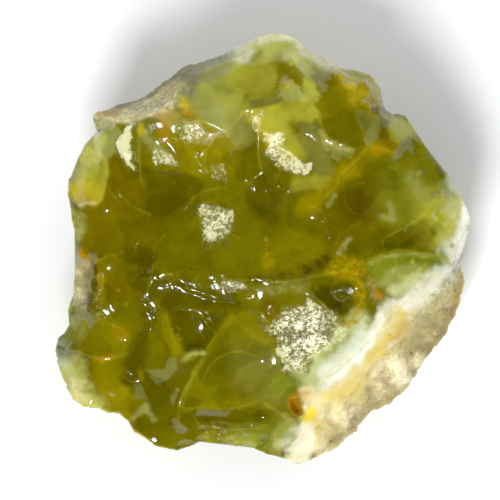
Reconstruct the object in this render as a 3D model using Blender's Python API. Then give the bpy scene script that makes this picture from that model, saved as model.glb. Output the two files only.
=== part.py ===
"""Rough green opal, a broken chunk as it comes from the ground.

The stone lies on its back and its broken green face looks up. The face is a net of sharp
edges, the arrises between the scars of the break, with a hollow skin stretched in each scar.
The lower right side and the back keep the knobbly cream rind. The underside ends in a small
natural parting face, which is flat and carries the stone.

X runs to the right of the face and Y to its upper edge. All sizes here are in millimetres,
and MM turns them into metres when the mesh is made.
"""
import math
import random

import bmesh
import bpy
import numpy as np
from mathutils import Vector, noise
from mathutils.geometry import delaunay_2d_cdt

MM = 0.001
SEED = 7

# Mesh spacing on the face and on the back, and how far free points stay from fixed lines.
FACE_SPACING = 1.32
BACK_SPACING = 1.75
LINE_CLEARANCE = 0.62
EDGE_MARGIN = 0.9
MERGE_DISTANCE = 0.25

# How deep a skin sags between its edges, as height per area. A rind skin swells instead.
FACE_SAG = -0.045
RIND_SWELL = 0.035

# Rind relief: (wavelength, height) of the broad knobs and of the small ones, and how far from
# the outline the relief reaches its full height.
BROAD_KNOBS = (6.5, 1.0)
SMALL_KNOBS = (2.9, 0.5)
RELIEF_FADE = 2.6

# The back: its flat share of the plan, that share's place on the way out to the rim, and how
# much longer the way over the back is than the plan's radius.
BASE_SHARE = 0.50
BASE_STEP = 0.42
BACK_STRETCH = 1.20
STONE_MIDDLE = (0.0, 0.0, 15.0)
STONE_REACH = 35.0
BASE_CLEARANCE = 0.25

OPAL_COLOUR = (0.235, 0.215, 0.008, 1.0)
OPAL_ROUGHNESS = 0.22
SHARP_ANGLE = 24.0

# The stone's outline seen from above, anticlockwise from its right side.
OUTLINE = (
    (34.7, 4.9), (33.5, 8.0), (32.2, 10.2), (30.9, 12.2), (28.9, 14.5), (27.2, 16.7),
    (25.7, 18.9), (24.5, 20.7), (23.6, 22.1), (22.2, 22.5), (21.6, 22.3), (20.5, 23.0),
    (20.1, 24.5), (19.9, 25.9), (19.2, 26.9), (18.5, 28.2), (17.7, 29.0), (16.5, 29.5),
    (14.5, 29.7), (12.9, 30.0), (11.5, 31.0), (10.7, 31.7), (9.4, 31.9), (7.9, 32.5),
    (6.7, 33.7), (5.5, 34.8), (4.4, 35.5), (1.9, 35.9), (0.4, 35.7), (-1.3, 35.1),
    (-3.5, 34.2), (-5.6, 33.2), (-7.3, 32.4), (-9.8, 31.5), (-12.3, 31.0), (-13.8, 30.4),
    (-15.0, 29.2), (-16.5, 28.1), (-18.1, 26.8), (-19.8, 25.6), (-21.5, 24.8), (-24.0, 24.2),
    (-25.6, 23.5), (-27.3, 23.0), (-28.2, 22.3), (-28.3, 21.6), (-27.6, 19.5), (-29.0, 18.0),
    (-30.1, 16.5), (-31.0, 14.5), (-32.0, 12.0), (-32.7, 11.2), (-32.8, 9.9), (-32.3, 8.0),
    (-32.0, 5.7), (-31.3, 3.2), (-31.3, -3.8), (-31.6, -7.6), (-32.5, -10.0), (-32.3, -12.6),
    (-33.1, -14.0), (-34.2, -14.8), (-34.6, -16.8), (-34.5, -19.0), (-33.6, -21.3),
    (-33.0, -23.3), (-31.6, -25.3), (-30.0, -26.5), (-27.6, -26.5), (-26.0, -27.3),
    (-24.0, -27.5), (-22.5, -28.8), (-21.5, -30.5), (-19.6, -31.6), (-18.0, -32.8),
    (-16.1, -33.3), (-14.3, -33.6), (-12.3, -33.0), (-10.6, -32.1), (-6.5, -32.6),
    (-1.5, -33.2), (0.4, -34.3), (2.9, -34.9), (4.5, -35.7), (6.0, -36.0), (8.0, -35.5),
    (10.0, -34.5), (12.2, -33.7), (13.4, -32.5), (15.4, -30.5), (17.0, -28.8), (18.5, -27.2),
    (20.9, -26.4), (22.7, -25.0), (24.2, -23.6), (25.7, -21.3), (27.2, -18.6), (29.0, -16.5),
    (30.7, -14.6), (31.4, -12.6), (32.9, -9.8), (33.4, -7.1), (34.0, -5.5), (33.5, -3.8),
    (32.9, -2.8), (33.5, -1.1), (34.0, 0.9), (34.4, 3.0),
)

# How high the outline runs, by azimuth in degrees from +X.
RIM_HEIGHTS = (
    (0, 13.0), (5, 14.5), (9, 17.5), (14, 18.5), (25, 20.5), (40, 21.0), (47, 19.5),
    (55, 21.5), (62, 22.0), (68, 21.0), (76, 22.0), (85, 21.5), (93, 20.5), (100, 17.5),
    (110, 16.0), (122, 16.5), (135, 18.5), (141, 21.0), (145, 19.5), (150, 20.5), (160, 18.0),
    (168, 20.5), (175, 21.5), (185, 19.0), (195, 17.5), (204, 17.0), (212, 15.0), (222, 16.5),
    (230, 15.0), (237, 16.5), (247, 15.0), (253, 16.5), (263, 15.5), (270, 16.0), (275, 13.5),
    (281, 11.0), (287, 9.0), (300, 8.0), (312, 7.0), (322, 8.5), (333, 9.0), (342, 10.5),
    (353, 11.5),
)
RIM_WOBBLE = (5.0, 1.1)

# The arrises of the face, each a line of (x, y, height) points.
ARRISES = {
    "upper left crest": (
        (-27.2, 22.1, 24.0), (-24.0, 21.6, 26.3), (-20.6, 21.8, 27.4), (-17.3, 22.9, 28.0),
        (-14.8, 25.4, 28.2), (-13.1, 27.2, 27.6), (-10.6, 28.8, 26.4), (-5.6, 31.2, 24.2),
        (-2.6, 33.0, 21.6)),
    "top crest": (
        (-3.1, 22.7, 29.4), (0.2, 23.2, 29.9), (2.9, 23.9, 30.3), (3.4, 25.4, 30.0),
        (4.2, 27.2, 29.4)),
    "foot of the top crest": ((-2.6, 24.4, 28.5), (0.2, 24.8, 28.8), (2.2, 25.2, 29.0),
                              (2.9, 27.3, 28.6)),
    "right of the top crest": (
        (4.2, 27.2, 29.4), (6.5, 25.6, 28.9), (8.4, 24.0, 28.7), (9.3, 21.0, 28.6),
        (10.6, 18.4, 28.3), (13.0, 17.4, 28.1), (15.2, 16.1, 28.2)),
    "upper right scar": ((4.6, 31.2, 26.6), (6.6, 28.4, 28.0), (9.5, 26.3, 27.8),
                         (8.4, 24.0, 28.7)),
    "foot of the corner lump": (
        (12.7, 28.8, 24.4), (13.2, 27.0, 25.2), (14.7, 24.5, 26.3), (15.5, 23.1, 26.8),
        (17.7, 22.5, 26.3), (19.2, 22.5, 25.2)),
    "triangle, left side": ((14.7, 24.5, 26.3), (15.7, 21.2, 27.4), (16.7, 18.5, 28.0),
                            (17.0, 16.5, 28.3)),
    "triangle, right side": ((17.0, 16.5, 28.3), (18.7, 17.5, 27.6), (19.2, 19.9, 26.6),
                             (19.2, 22.3, 25.3)),
    "corner lobe": ((20.4, 21.4, 24.6), (20.9, 19.6, 25.3), (22.2, 18.0, 25.7),
                    (24.1, 18.5, 23.6)),
    "diagonal": (
        (21.4, 16.0, 26.6), (19.0, 16.9, 27.6), (17.0, 16.5, 28.3), (14.7, 14.0, 28.0),
        (12.7, 12.2, 27.6), (11.4, 9.9, 27.2), (9.0, 7.9, 26.8), (7.4, 6.4, 26.0),
        (6.0, 5.7, 25.2)),
    "lower rim of the top mass": (
        (-3.0, 9.4, 25.2), (-0.3, 12.7, 26.7), (1.9, 11.9, 26.5), (4.4, 9.6, 26.1),
        (6.9, 8.3, 26.3), (9.0, 7.9, 26.8)),
    "left edge of the top mass": (
        (-1.9, 22.9, 29.6), (-1.4, 21.2, 29.0), (-1.0, 19.5, 28.6), (-0.9, 17.0, 27.8),
        (-0.7, 14.5, 27.1), (-0.3, 12.7, 26.7)),
    "upper edge of the web scar": (
        (-15.3, 18.7, 27.2), (-15.0, 20.2, 27.6), (-13.3, 21.2, 28.1), (-10.5, 21.2, 28.6),
        (-8.0, 20.6, 28.8), (-6.0, 19.3, 28.6), (-4.5, 21.0, 28.8), (-3.1, 22.7, 29.4)),
    "rim of the web scar": (
        (-15.3, 18.7, 27.2), (-13.6, 17.9, 27.1), (-12.3, 16.2, 26.9), (-12.0, 14.9, 26.7),
        (-10.6, 13.6, 26.4), (-9.5, 12.9, 26.2), (-7.0, 12.0, 26.0), (-4.0, 9.9, 25.5),
        (-3.0, 9.4, 25.2)),
    "round scar": ((-9.5, 12.9, 26.2), (-9.8, 15.2, 27.0), (-9.0, 16.9, 27.4),
                   (-7.6, 18.0, 27.7), (-6.0, 19.3, 28.6)),
    "west web edge": ((-17.3, 22.9, 28.0), (-17.2, 20.6, 27.3), (-16.2, 17.2, 26.5),
                      (-14.2, 14.4, 25.8), (-12.9, 12.4, 25.5)),
    "west rib": (
        (-20.6, 21.8, 27.4), (-20.3, 19.0, 26.9), (-20.5, 16.0, 26.3), (-20.4, 13.0, 25.5),
        (-20.0, 9.9, 24.9), (-19.0, 7.0, 24.5), (-18.8, 3.5, 24.2)),
    "bright strip edge": ((-21.0, 20.6, 26.8), (-21.8, 18.2, 26.2), (-22.0, 15.7, 25.4),
                          (-20.9, 12.9, 24.9)),
    "left lobe ridge": (
        (-27.0, 20.4, 22.8), (-27.1, 18.6, 23.0), (-26.8, 16.9, 23.6), (-26.1, 15.2, 24.2),
        (-25.6, 13.9, 24.5), (-26.0, 11.5, 24.5), (-26.7, 8.1, 24.4)),
    "left lobe foot": ((-31.0, 7.4, 21.0), (-29.8, 7.5, 22.8), (-27.5, 7.7, 24.1),
                       (-26.7, 8.1, 24.4)),
    "left centre diagonal": (
        (-16.0, 5.4, 24.8), (-13.1, 6.6, 25.3), (-10.6, 8.9, 26.1), (-8.1, 10.0, 26.4),
        (-6.0, 10.1, 26.0)),
    "west ridge": ((-16.4, 2.2, 25.0), (-18.1, -0.1, 25.0), (-18.3, -3.5, 25.0),
                   (-19.0, -6.0, 24.3), (-20.1, -8.5, 23.6)),
    "left cross ridge": ((-27.3, -1.8, 24.2), (-23.1, -0.5, 24.1), (-21.1, 0.6, 24.1),
                         (-19.0, 0.4, 24.4), (-18.1, -0.1, 25.0)),
    "brow": (
        (-18.5, -4.3, 24.8), (-14.8, -4.1, 25.4), (-10.6, -3.8, 25.5), (-5.6, -5.3, 25.5),
        (-2.3, -5.1, 25.8), (-0.3, -5.0, 26.1), (4.4, -5.3, 26.2), (7.7, -4.5, 26.2),
        (11.0, -4.2, 26.0), (13.8, -3.4, 25.8), (16.0, -2.1, 25.2)),
    "second brow": (
        (-20.1, -8.5, 23.6), (-17.3, -9.3, 23.8), (-14.0, -10.0, 24.0), (-10.6, -10.3, 24.1),
        (-6.5, -10.0, 24.1), (-2.3, -8.8, 24.6), (-0.3, -7.8, 25.0), (3.5, -8.1, 25.1),
        (6.9, -7.1, 25.4), (7.7, -6.8, 25.5)),
    "centre crease": ((-0.6, 3.6, 24.7), (-0.4, 1.0, 24.7), (0.2, -0.5, 25.0),
                      (1.8, -2.8, 25.5)),
    "sparkle edge": (
        (9.7, 6.6, 26.2), (10.2, 5.0, 25.6), (10.9, 2.5, 25.3), (11.2, 0.2, 25.2),
        (12.5, -1.5, 25.5), (13.8, -3.4, 25.8)),
    "right facet ridge": (
        (17.4, -0.1, 24.7), (20.2, 1.9, 25.2), (23.5, 3.6, 25.5), (26.0, 5.3, 25.3),
        (27.7, 7.4, 24.8), (29.4, 8.6, 23.8), (31.0, 8.0, 22.0)),
    "mint facet top": (
        (16.0, -2.1, 25.2), (19.4, -1.0, 25.1), (22.7, -0.1, 24.9), (26.9, -0.7, 24.2),
        (29.4, -1.1, 23.2), (30.9, -1.6, 22.0)),
    "mint facet left side": ((17.4, -2.5, 24.9), (18.6, -5.4, 23.8), (20.0, -7.8, 22.7)),
    "dark scar": (
        (7.7, -6.8, 25.5), (10.2, -9.3, 25.5), (12.7, -11.6, 25.2), (15.2, -10.3, 24.3),
        (16.4, -8.1, 24.4), (16.6, -6.0, 24.7), (13.8, -3.4, 25.8)),
    "big scar, left side": (
        (-2.3, -8.8, 24.6), (-4.8, -11.5, 24.2), (-7.0, -13.5, 23.8), (-8.5, -15.1, 23.5),
        (-9.5, -17.1, 23.3)),
    "down left ridge": (
        (-9.5, -17.1, 23.3), (-10.6, -19.0, 23.0), (-12.0, -21.5, 22.5), (-13.5, -24.3, 21.8),
        (-14.1, -26.8, 21.0), (-14.0, -28.8, 20.0)),
    "big scar, lower edge": (
        (-14.1, -26.8, 21.0), (-10.6, -26.3, 21.0), (-6.5, -26.5, 20.8), (-2.3, -25.3, 20.9),
        (1.9, -24.1, 20.6), (6.0, -23.1, 20.4), (9.4, -22.6, 20.2)),
    "big scar, inner crease": (
        (-4.8, -11.5, 24.2), (-2.5, -14.0, 23.4), (0.3, -16.2, 22.6), (1.6, -18.5, 21.9),
        (2.0, -21.0, 21.2)),
    "bright scar, left side": ((-1.9, -9.6, 24.4), (0.2, -12.6, 23.6), (1.5, -15.3, 22.8),
                               (2.4, -18.4, 21.9)),
    "bowl, left side": ((-16.0, -10.2, 24.0), (-14.8, -12.8, 23.8), (-14.0, -15.5, 23.4),
                        (-13.5, -17.6, 23.2)),
    "bowl lip": ((-13.5, -17.6, 23.2), (-11.5, -17.1, 23.4), (-9.5, -17.1, 23.3)),
    "lower left facet": (
        (-24.8, -12.6, 23.4), (-22.6, -14.0, 22.8), (-21.5, -16.0, 22.2), (-23.1, -17.3, 22.2),
        (-25.3, -18.1, 22.0), (-28.1, -18.0, 21.4), (-31.5, -16.8, 19.4)),
    "left middle line": ((-27.6, -11.0, 23.0), (-24.8, -8.8, 23.8), (-22.3, -9.1, 23.7),
                         (-20.1, -8.5, 23.6)),
    "mirror facet": ((-19.3, -20.0, 21.6), (-16.3, -20.0, 22.1), (-14.7, -17.9, 22.9),
                     (-14.0, -19.8, 22.6), (-16.9, -22.8, 21.2), (-19.3, -20.0, 21.6)),
    "bottom corner": ((-14.0, -28.8, 20.0), (-12.3, -30.3, 18.2), (-11.0, -31.3, 16.0)),
    "bottom rim": ((-10.6, -29.3, 19.2), (-4.8, -30.1, 19.2), (-0.3, -29.8, 18.9),
                   (2.4, -31.6, 16.9)),
    "white crest": (
        (3.3, -33.9, 13.6), (5.5, -30.1, 17.6), (9.4, -22.6, 20.2), (13.5, -19.3, 20.9),
        (20.2, -12.6, 21.5), (23.5, -8.5, 21.7), (30.5, -2.6, 21.2), (31.9, -1.0, 20.4),
        (33.2, 3.4, 18.0)),
    "rind edge": (
        (8.9, -34.0, 11.6), (9.6, -31.0, 14.4), (10.2, -28.4, 16.2), (12.6, -26.0, 17.0),
        (15.0, -23.7, 17.4), (17.5, -20.5, 17.8), (20.0, -17.7, 18.0), (22.5, -16.8, 17.4),
        (24.8, -13.4, 18.2), (26.6, -10.4, 18.4), (28.6, -8.4, 18.1), (30.0, -6.8, 17.6),
        (30.9, -5.0, 17.0), (31.6, -3.4, 15.6)),
    "pocket rim": ((4.2, -24.8, 19.9), (6.4, -24.5, 19.7), (6.5, -26.2, 19.1),
                   (6.9, -27.4, 18.6), (5.6, -27.8, 18.7), (4.4, -26.8, 19.2),
                   (4.2, -24.8, 19.9)),
}

# Where the face runs low, lines of (x, y, height) points.
VALLEYS = {
    "gully left of the top mass": ((-2.9, 21.4, 28.0), (-2.6, 19.9, 27.3), (-2.2, 16.5, 26.5),
                                   (-1.6, 13.6, 26.1)),
    "bowl floor": ((-12.6, -15.5, 22.3), (-10.6, -15.2, 22.2)),
    "dark gully": ((-18.0, -11.5, 22.9), (-19.0, -13.8, 22.1), (-20.1, -16.8, 21.3),
                   (-21.0, -19.5, 20.7), (-22.0, -22.1, 20.2)),
    "rusty crevice": ((-28.1, -2.8, 23.0), (-27.9, -5.0, 22.4), (-28.9, -8.8, 21.8)),
    "left hollow": ((-21.8, -3.2, 23.6), (-19.7, -3.7, 23.5)),
    "bottom gully": ((-10.2, -28.0, 19.0), (-5.0, -28.3, 18.9), (-0.5, -27.8, 18.9)),
    "brown hollow": ((14.6, 9.6, 25.6), (16.4, 7.6, 24.7), (17.4, 5.0, 24.2),
                     (16.6, 1.8, 24.3)),
    "dark scar floor": ((10.6, -6.6, 24.1), (12.4, -8.6, 23.6), (14.3, -7.6, 23.9)),
    "right facet valley": ((21.0, 0.9, 24.1), (24.2, 2.0, 23.9), (27.4, 2.6, 23.6)),
    "centre hollow": ((0.4, 6.8, 24.2), (2.6, 5.6, 24.2)),
    "pocket floor": ((5.1, -25.6, 17.6), (5.7, -26.8, 17.2)),
    "foot of the mint facet": ((22.6, -5.6, 23.0), (26.6, -3.6, 22.8)),
}

# The rind's knobs on the lower right side: (x, y, radius, height).
RIND_KNOBS = (
    (22.3, -19.6, 3.1, 2.0), (12.3, -27.6, 2.5, 1.4), (26.2, -18.0, 1.5, 1.1),
    (16.0, -25.4, 1.9, 0.9), (19.0, -22.8, 2.2, 0.8), (28.3, -13.4, 2.6, 0.9),
    (32.3, -6.2, 1.7, 1.6), (29.6, -10.2, 1.8, 0.9), (21.3, -24.2, 1.6, 0.7),
    (10.6, -31.6, 1.9, 0.7), (25.2, -15.4, 1.6, 0.6), (17.8, -26.3, 1.5, 0.7),
    (24.7, -21.9, 1.2, -0.8), (27.4, -16.0, 1.6, -0.9), (14.6, -29.0, 1.8, -0.8),
)

# Swellings of the opal itself: (x, y, radius, height).
OPAL_KNOBS = (
    (16.6, 26.2, 3.6, 1.5), (22.5, 20.3, 1.9, 0.7), (32.0, 3.6, 2.6, 0.6),
    (-31.2, -21.5, 3.4, 0.9), (-26.2, -20.8, 3.0, 0.5), (15.6, -4.0, 1.1, 0.5),
    (-6.3, 26.5, 3.0, 0.3), (27.0, 11.0, 4.0, 0.4), (-29.6, 12.2, 2.6, 0.5),
)

# The plan of what keeps its rind: the lower right side from the rind edge outward, and the
# wall outside the upper left crest.
RIND_SIDE = ARRISES["rind edge"] + ((40.0, -3.4), (40.0, -40.0), (8.9, -40.0))
RIND_WALL = ARRISES["upper left crest"] + ((-2.6, 40.0), (-40.0, 40.0), (-40.0, 22.1))

# The flat parting face that carries the stone.
BASE_CORNERS = ((15.8, 1.5), (11.4, 10.8), (1.0, 14.6), (-10.2, 12.2), (-15.4, 2.6),
                (-14.2, -8.4), (-3.2, -15.0), (9.0, -12.2))

# Flat breaks that cut the back's bowl form: the azimuth that a break faces, how far it faces
# down in degrees, and its gap. A wall break starts at the rim and lies its gap inside the
# rim's reach. A low break lies its gap outside the base.
WALL_BREAKS = (
    (8, 26, 0.0), (34, 15, 0.4), (60, 29, 0.3), (84, 12, 0.6), (112, 24, 0.5), (140, 10, 0.8),
    (166, 26, 0.4), (186, 14, 0.5), (210, 30, 0.6), (232, 18, 0.5), (256, 26, 0.4),
    (280, 30, 0.8), (308, 22, 0.2), (336, 20, 0.2),
)
LOW_BREAKS = (
    (22, 52, 2.0), (48, 60, 3.0), (98, 49, 1.8), (124, 57, 2.8), (150, 46, 2.0), (196, 52, 3.2),
    (222, 46, 2.2), (244, 55, 2.0), (272, 48, 3.4), (300, 57, 2.6), (345, 50, 3.0),
)
RIM_HOLD = 0.12

# Fresh flake scars on the back, smooth and green: (azimuth from, azimuth to, lowest share).
BACK_SCARS = ((132, 204, 0.60), (243, 281, 0.60), (12, 50, 0.62))
SCAR_RELIEF = 0.25


def rim_height(x, y):
    """Height of the outline at a point's azimuth."""
    azimuths = [azimuth for azimuth, height in RIM_HEIGHTS]
    heights = [height for azimuth, height in RIM_HEIGHTS]
    azimuth = math.degrees(math.atan2(y, x)) % 360.0
    wavelength, wobble = RIM_WOBBLE
    around = Vector((x, y, 0.0)).normalized() * STONE_REACH / wavelength
    return float(np.interp(azimuth, azimuths, heights, period=360.0)) + wobble * noise.noise(around)


def split_line(points, spacing):
    """Points of a line, with points added so that none are further apart than spacing."""
    result = [points[0]]
    for start, end in zip(points, points[1:]):
        parts = max(1, math.ceil(math.dist(start[:2], end[:2]) / spacing))
        for part in range(1, parts + 1):
            share = part / parts
            result.append(tuple(a + (b - a) * share for a, b in zip(start, end)))
    return result


def curve_line(points, spacing):
    """A smooth curve through the points, as a line of points about spacing apart."""
    ends = [points[0]] + list(points) + [points[-1]]
    result = [points[0]]
    for before, start, end, after in zip(ends, ends[1:], ends[2:], ends[3:]):
        parts = max(1, round(math.dist(start[:2], end[:2]) / spacing))
        for part in range(1, parts + 1):
            t = part / parts
            result.append(tuple(
                0.5 * (2 * b + (c - a) * t + (2 * a - 5 * b + 4 * c - d) * t ** 2
                       + (3 * b - a - 3 * c + d) * t ** 3)
                for a, b, c, d in zip(before, start, end, after)))
    return result


def inside(point, ring):
    """Whether a plan point lies inside a closed ring of points."""
    x, y = point[:2]
    within = False
    for (x1, y1, *_), (x2, y2, *_) in zip(ring, (*ring[1:], ring[0])):
        if (y1 > y) != (y2 > y) and x < x1 + (y - y1) * (x2 - x1) / (y2 - y1):
            within = not within
    return within


def nearest(point, others):
    """Plan distance from a point to the nearest of an array of points."""
    return float(np.min(np.hypot(others[:, 0] - point[0], others[:, 1] - point[1])))


def keep_off(ring, points, margin):
    """The points that lie inside a ring and at least margin from its corners."""
    corners = np.array([corner[:2] for corner in split_line(list(ring) + [ring[0]], 0.5)])
    return [point for point in points
            if inside(point, ring) and nearest(point, corners) >= margin]


def scatter(ring, fixed, spacing, rng):
    """Free points over the inside of a ring, in jittered rows, clear of the fixed points."""
    fixed = np.array([point[:2] for point in fixed])
    low = np.array([corner[:2] for corner in ring]).min(axis=0)
    high = np.array([corner[:2] for corner in ring]).max(axis=0)
    result = []
    row_height = spacing * math.sqrt(3) / 2
    for row in range(int((high[1] - low[1]) / row_height) + 1):
        for column in range(int((high[0] - low[0]) / spacing) + 2):
            x = low[0] + (column - 0.5 * (row % 2)) * spacing
            y = low[1] + row * row_height
            x += rng.uniform(-0.16, 0.16) * spacing
            y += rng.uniform(-0.16, 0.16) * spacing
            if inside((x, y), ring) and nearest((x, y), fixed) > LINE_CLEARANCE * spacing:
                result.append((x, y))
    return result


def net(ring, lines, free):
    """Triangles over the inside of a ring that follow every line.

    Gives the plan points, the triangles, and for each plan point the number of the input
    point that it came from, counted over the ring, the lines and the free points in turn.
    """
    points = [point[:2] for point in ring]
    edges = [(i, (i + 1) % len(ring)) for i in range(len(ring))]
    for line in lines:
        first = len(points)
        points += [point[:2] for point in line]
        edges += [(first + i, first + i + 1) for i in range(len(line) - 1)]
    points += list(free)
    plan, _, faces, sources, _, _ = delaunay_2d_cdt(
        [Vector(point) for point in points], edges, [list(range(len(ring)))], 1, MERGE_DISTANCE)
    return np.array(plan), [tuple(face) for face in faces], [min(s, default=-1) for s in sources]


def stiffness(plan, faces):
    """Cotangent weights between the points of a net, and the area that each point holds."""
    count = len(plan)
    weights = np.zeros((count, count))
    areas = np.zeros(count)
    for face in faces:
        for turn in range(3):
            a, b, c = face[turn], face[(turn + 1) % 3], face[(turn + 2) % 3]
            to_a = plan[a] - plan[c]
            to_b = plan[b] - plan[c]
            twice_area = abs(to_a[0] * to_b[1] - to_a[1] * to_b[0])
            cotangent = max(0.02, float(to_a @ to_b) / max(twice_area, 1e-6))
            weights[a, b] += 0.5 * cotangent
            weights[b, a] += 0.5 * cotangent
            areas[c] += twice_area / 6.0
    return weights, areas


def stretch_skin(plan, faces, places, loads):
    """Places of all points of a net, as a skin stretched between the points that have one.

    A place is one number or one vector. A load pushes its point out of the even skin.
    """
    weights, areas = stiffness(plan, faces)
    width = len(np.atleast_1d(next(place for place in places if place is not None)))
    fixed = [i for i, place in enumerate(places) if place is not None]
    free = [i for i, place in enumerate(places) if place is None]
    held = np.array([np.atleast_1d(places[i]) for i in fixed])
    matrix = np.diag(weights.sum(axis=1)) - weights
    push = (areas[:, None] * np.asarray(loads).reshape(len(plan), width))[free]
    push -= matrix[np.ix_(free, fixed)] @ held
    result = np.zeros((len(plan), width))
    result[fixed] = held
    result[free] = np.linalg.solve(matrix[np.ix_(free, free)], push)
    return result


def knob(distance, radius):
    """Share of a round knob's height at a distance from its middle."""
    return math.exp(-(distance / radius) ** 2 * 1.6)


def rind_relief(x, y, z):
    """Height of the rind's knobs over its even skin."""
    place = Vector((x, y, z))
    broad, small = BROAD_KNOBS, SMALL_KNOBS
    return (broad[1] * noise.noise(place / broad[0])
            + small[1] * noise.noise(place / small[0] + Vector((9.0, 4.0, 2.0))))


def make_rim():
    """The outline with its heights, as points that the face and the back share."""
    ring = split_line(list(OUTLINE) + [OUTLINE[0]], FACE_SPACING * 1.25)[:-1]
    return [(x, y, rim_height(x, y)) for x, y in ring]


def directions(points, faces):
    """The skin's outward direction at every point."""
    points = np.array(points)
    corners = points[np.array(faces)]
    across = np.cross(corners[:, 1] - corners[:, 0], corners[:, 2] - corners[:, 0])
    across *= np.sign(across[:, 2:3] + 1e-9)
    result = np.zeros(points.shape)
    for corner in range(3):
        np.add.at(result, np.array(faces)[:, corner], across)
    return result / np.linalg.norm(result, axis=1, keepdims=True)


def make_face(rim, rng):
    """Points and triangles of the upper side."""
    lines = []
    for line in list(ARRISES.values()) + list(VALLEYS.values()):
        lines.append(keep_off(rim, curve_line(line, FACE_SPACING), EDGE_MARGIN))
    fixed = rim + [point for line in lines for point in line]
    free = scatter(rim, fixed, FACE_SPACING, rng)
    plan, faces, sources = net(rim, lines, free)
    places = [fixed[source][2] if 0 <= source < len(fixed) else None for source in sources]
    on_rind = [inside(point, RIND_SIDE) or inside(point, RIND_WALL) for point in plan]
    loads = [RIND_SWELL if rind else FACE_SAG for rind in on_rind]
    skin = np.column_stack((plan, stretch_skin(plan, faces, places, loads)))
    outline = np.array([point[:2] for point in split_line(rim + [rim[0]], 0.5)])
    points = []
    for place, away, rind, source in zip(skin, directions(skin, faces), on_rind, sources):
        rise = rind_relief(*place) if rind else 0.0
        for knob_x, knob_y, radius, height in (RIND_KNOBS if rind else OPAL_KNOBS):
            rise += height * knob(math.dist(place[:2], (knob_x, knob_y)), radius)
        if 0 <= source < len(rim):
            rise = 0.0
        fade = min(1.0, nearest(place, outline) / RELIEF_FADE)
        points.append(tuple(place + away * rise * fade))
    return points, faces, sources


def outline_radius(azimuth):
    """Distance from the middle to the outline at an azimuth."""
    azimuths = [math.degrees(math.atan2(y, x)) % 360.0 for x, y in OUTLINE]
    radii = [math.hypot(x, y) for x, y in OUTLINE]
    order = sorted(range(len(azimuths)), key=lambda i: azimuths[i])
    return float(np.interp(azimuth % 360.0, [azimuths[i] for i in order],
                           [radii[i] for i in order], period=360.0))


def bowl_place(azimuth, share):
    """A point of the back's plain bowl form, share of the way from its middle to the rim."""
    angle = math.radians(azimuth)
    radius = outline_radius(azimuth)
    base = BASE_SHARE * radius
    turn = max(0.0, (share - BASE_STEP) / (1.0 - BASE_STEP)) * math.pi / 2
    reach = base * min(1.0, share / BASE_STEP) + (radius - base) * math.sin(turn)
    height = rim_height(math.cos(angle), math.sin(angle)) * (1.0 - math.cos(turn))
    return Vector((reach * math.cos(angle), reach * math.sin(angle), height))


def make_breaks(rim):
    """The planes of the back's breaks, each as its outward direction and its distance."""
    base = [(x, y, 0.0) for x, y in BASE_CORNERS]
    walls = [(azimuth, down, -gap, rim) for azimuth, down, gap in WALL_BREAKS]
    lows = [(azimuth, down, gap, base) for azimuth, down, gap in LOW_BREAKS]
    planes = []
    for azimuth, down, offset, edge in walls + lows:
        across = math.cos(math.radians(down))
        outward = Vector((across * math.cos(math.radians(azimuth)),
                          across * math.sin(math.radians(azimuth)),
                          -math.sin(math.radians(down))))
        reach = max(outward.dot(Vector(point)) for point in edge)
        planes.append((outward, reach + offset))
    return planes


def cut_by(planes, place, hold):
    """A place pulled in towards the stone's middle until it lies behind every plane.

    Hold is 0 at the rim, where nothing moves, and 1 well below it.
    """
    middle = Vector(STONE_MIDDLE)
    away = place - middle
    share = 1.0
    for outward, distance in planes:
        rise = outward.dot(away)
        if rise > 0.0:
            share = min(share, (distance - outward.dot(middle)) / rise)
    return middle + away * (1.0 - (1.0 - share) * hold)


def on_scar(azimuth, share):
    """Whether a place of the back is a fresh scar and not rind."""
    return any(low < azimuth % 360.0 < high and share > least
               for low, high, least in BACK_SCARS)


def make_back(rim, rng):
    """Points and triangles of the underside, with the rim's points first."""
    unrolled_rim = [(x * BACK_STRETCH, y * BACK_STRETCH) for x, y, z in rim]
    base_scale = BACK_STRETCH * BASE_STEP / BASE_SHARE
    base = split_line(list(BASE_CORNERS) + [BASE_CORNERS[0]], BACK_SPACING * 1.4)
    base_line = [(x * base_scale, y * base_scale) for x, y in base]
    free = scatter(unrolled_rim, unrolled_rim + base_line, BACK_SPACING, rng)
    plan, faces, sources = net(unrolled_rim, [base_line], free)
    planes = make_breaks(rim)
    middle = Vector(STONE_MIDDLE)
    points = []
    for point, source in zip(plan, sources):
        if 0 <= source < len(rim):
            points.append(rim[source])
            continue
        if inside(point, base_line[:-1]) or 0 <= source < len(rim) + len(base):
            points.append((point[0] / base_scale, point[1] / base_scale, 0.0))
            continue
        azimuth = math.degrees(math.atan2(point[1], point[0])) % 360.0
        share = math.hypot(*point) / (BACK_STRETCH * outline_radius(azimuth))
        hold = min(1.0, (1.0 - share) / RIM_HOLD)
        place = cut_by(planes, bowl_place(azimuth, share), hold)
        swell = hold * (SCAR_RELIEF if on_scar(azimuth, share) else 1.0)
        place += (place - middle).normalized() * swell * rind_relief(*place)
        place.z = max(place.z, BASE_CLEARANCE)
        points.append(tuple(place))
    return points, faces, sources


def join_sides(rim, face, back):
    """One closed body from the face and the back, which meet at the rim."""
    points = list(rim)
    triangles = []
    for upward, (side_points, side_faces, sources) in ((True, face), (False, back)):
        numbers = []
        for point, source in zip(side_points, sources):
            if 0 <= source < len(rim):
                numbers.append(source)
            else:
                numbers.append(len(points))
                points.append(point)
        for a, b, c in side_faces:
            triangle = (numbers[a], numbers[b], numbers[c])
            triangles.append(triangle if upward else triangle[::-1])
    return points, triangles


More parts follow.
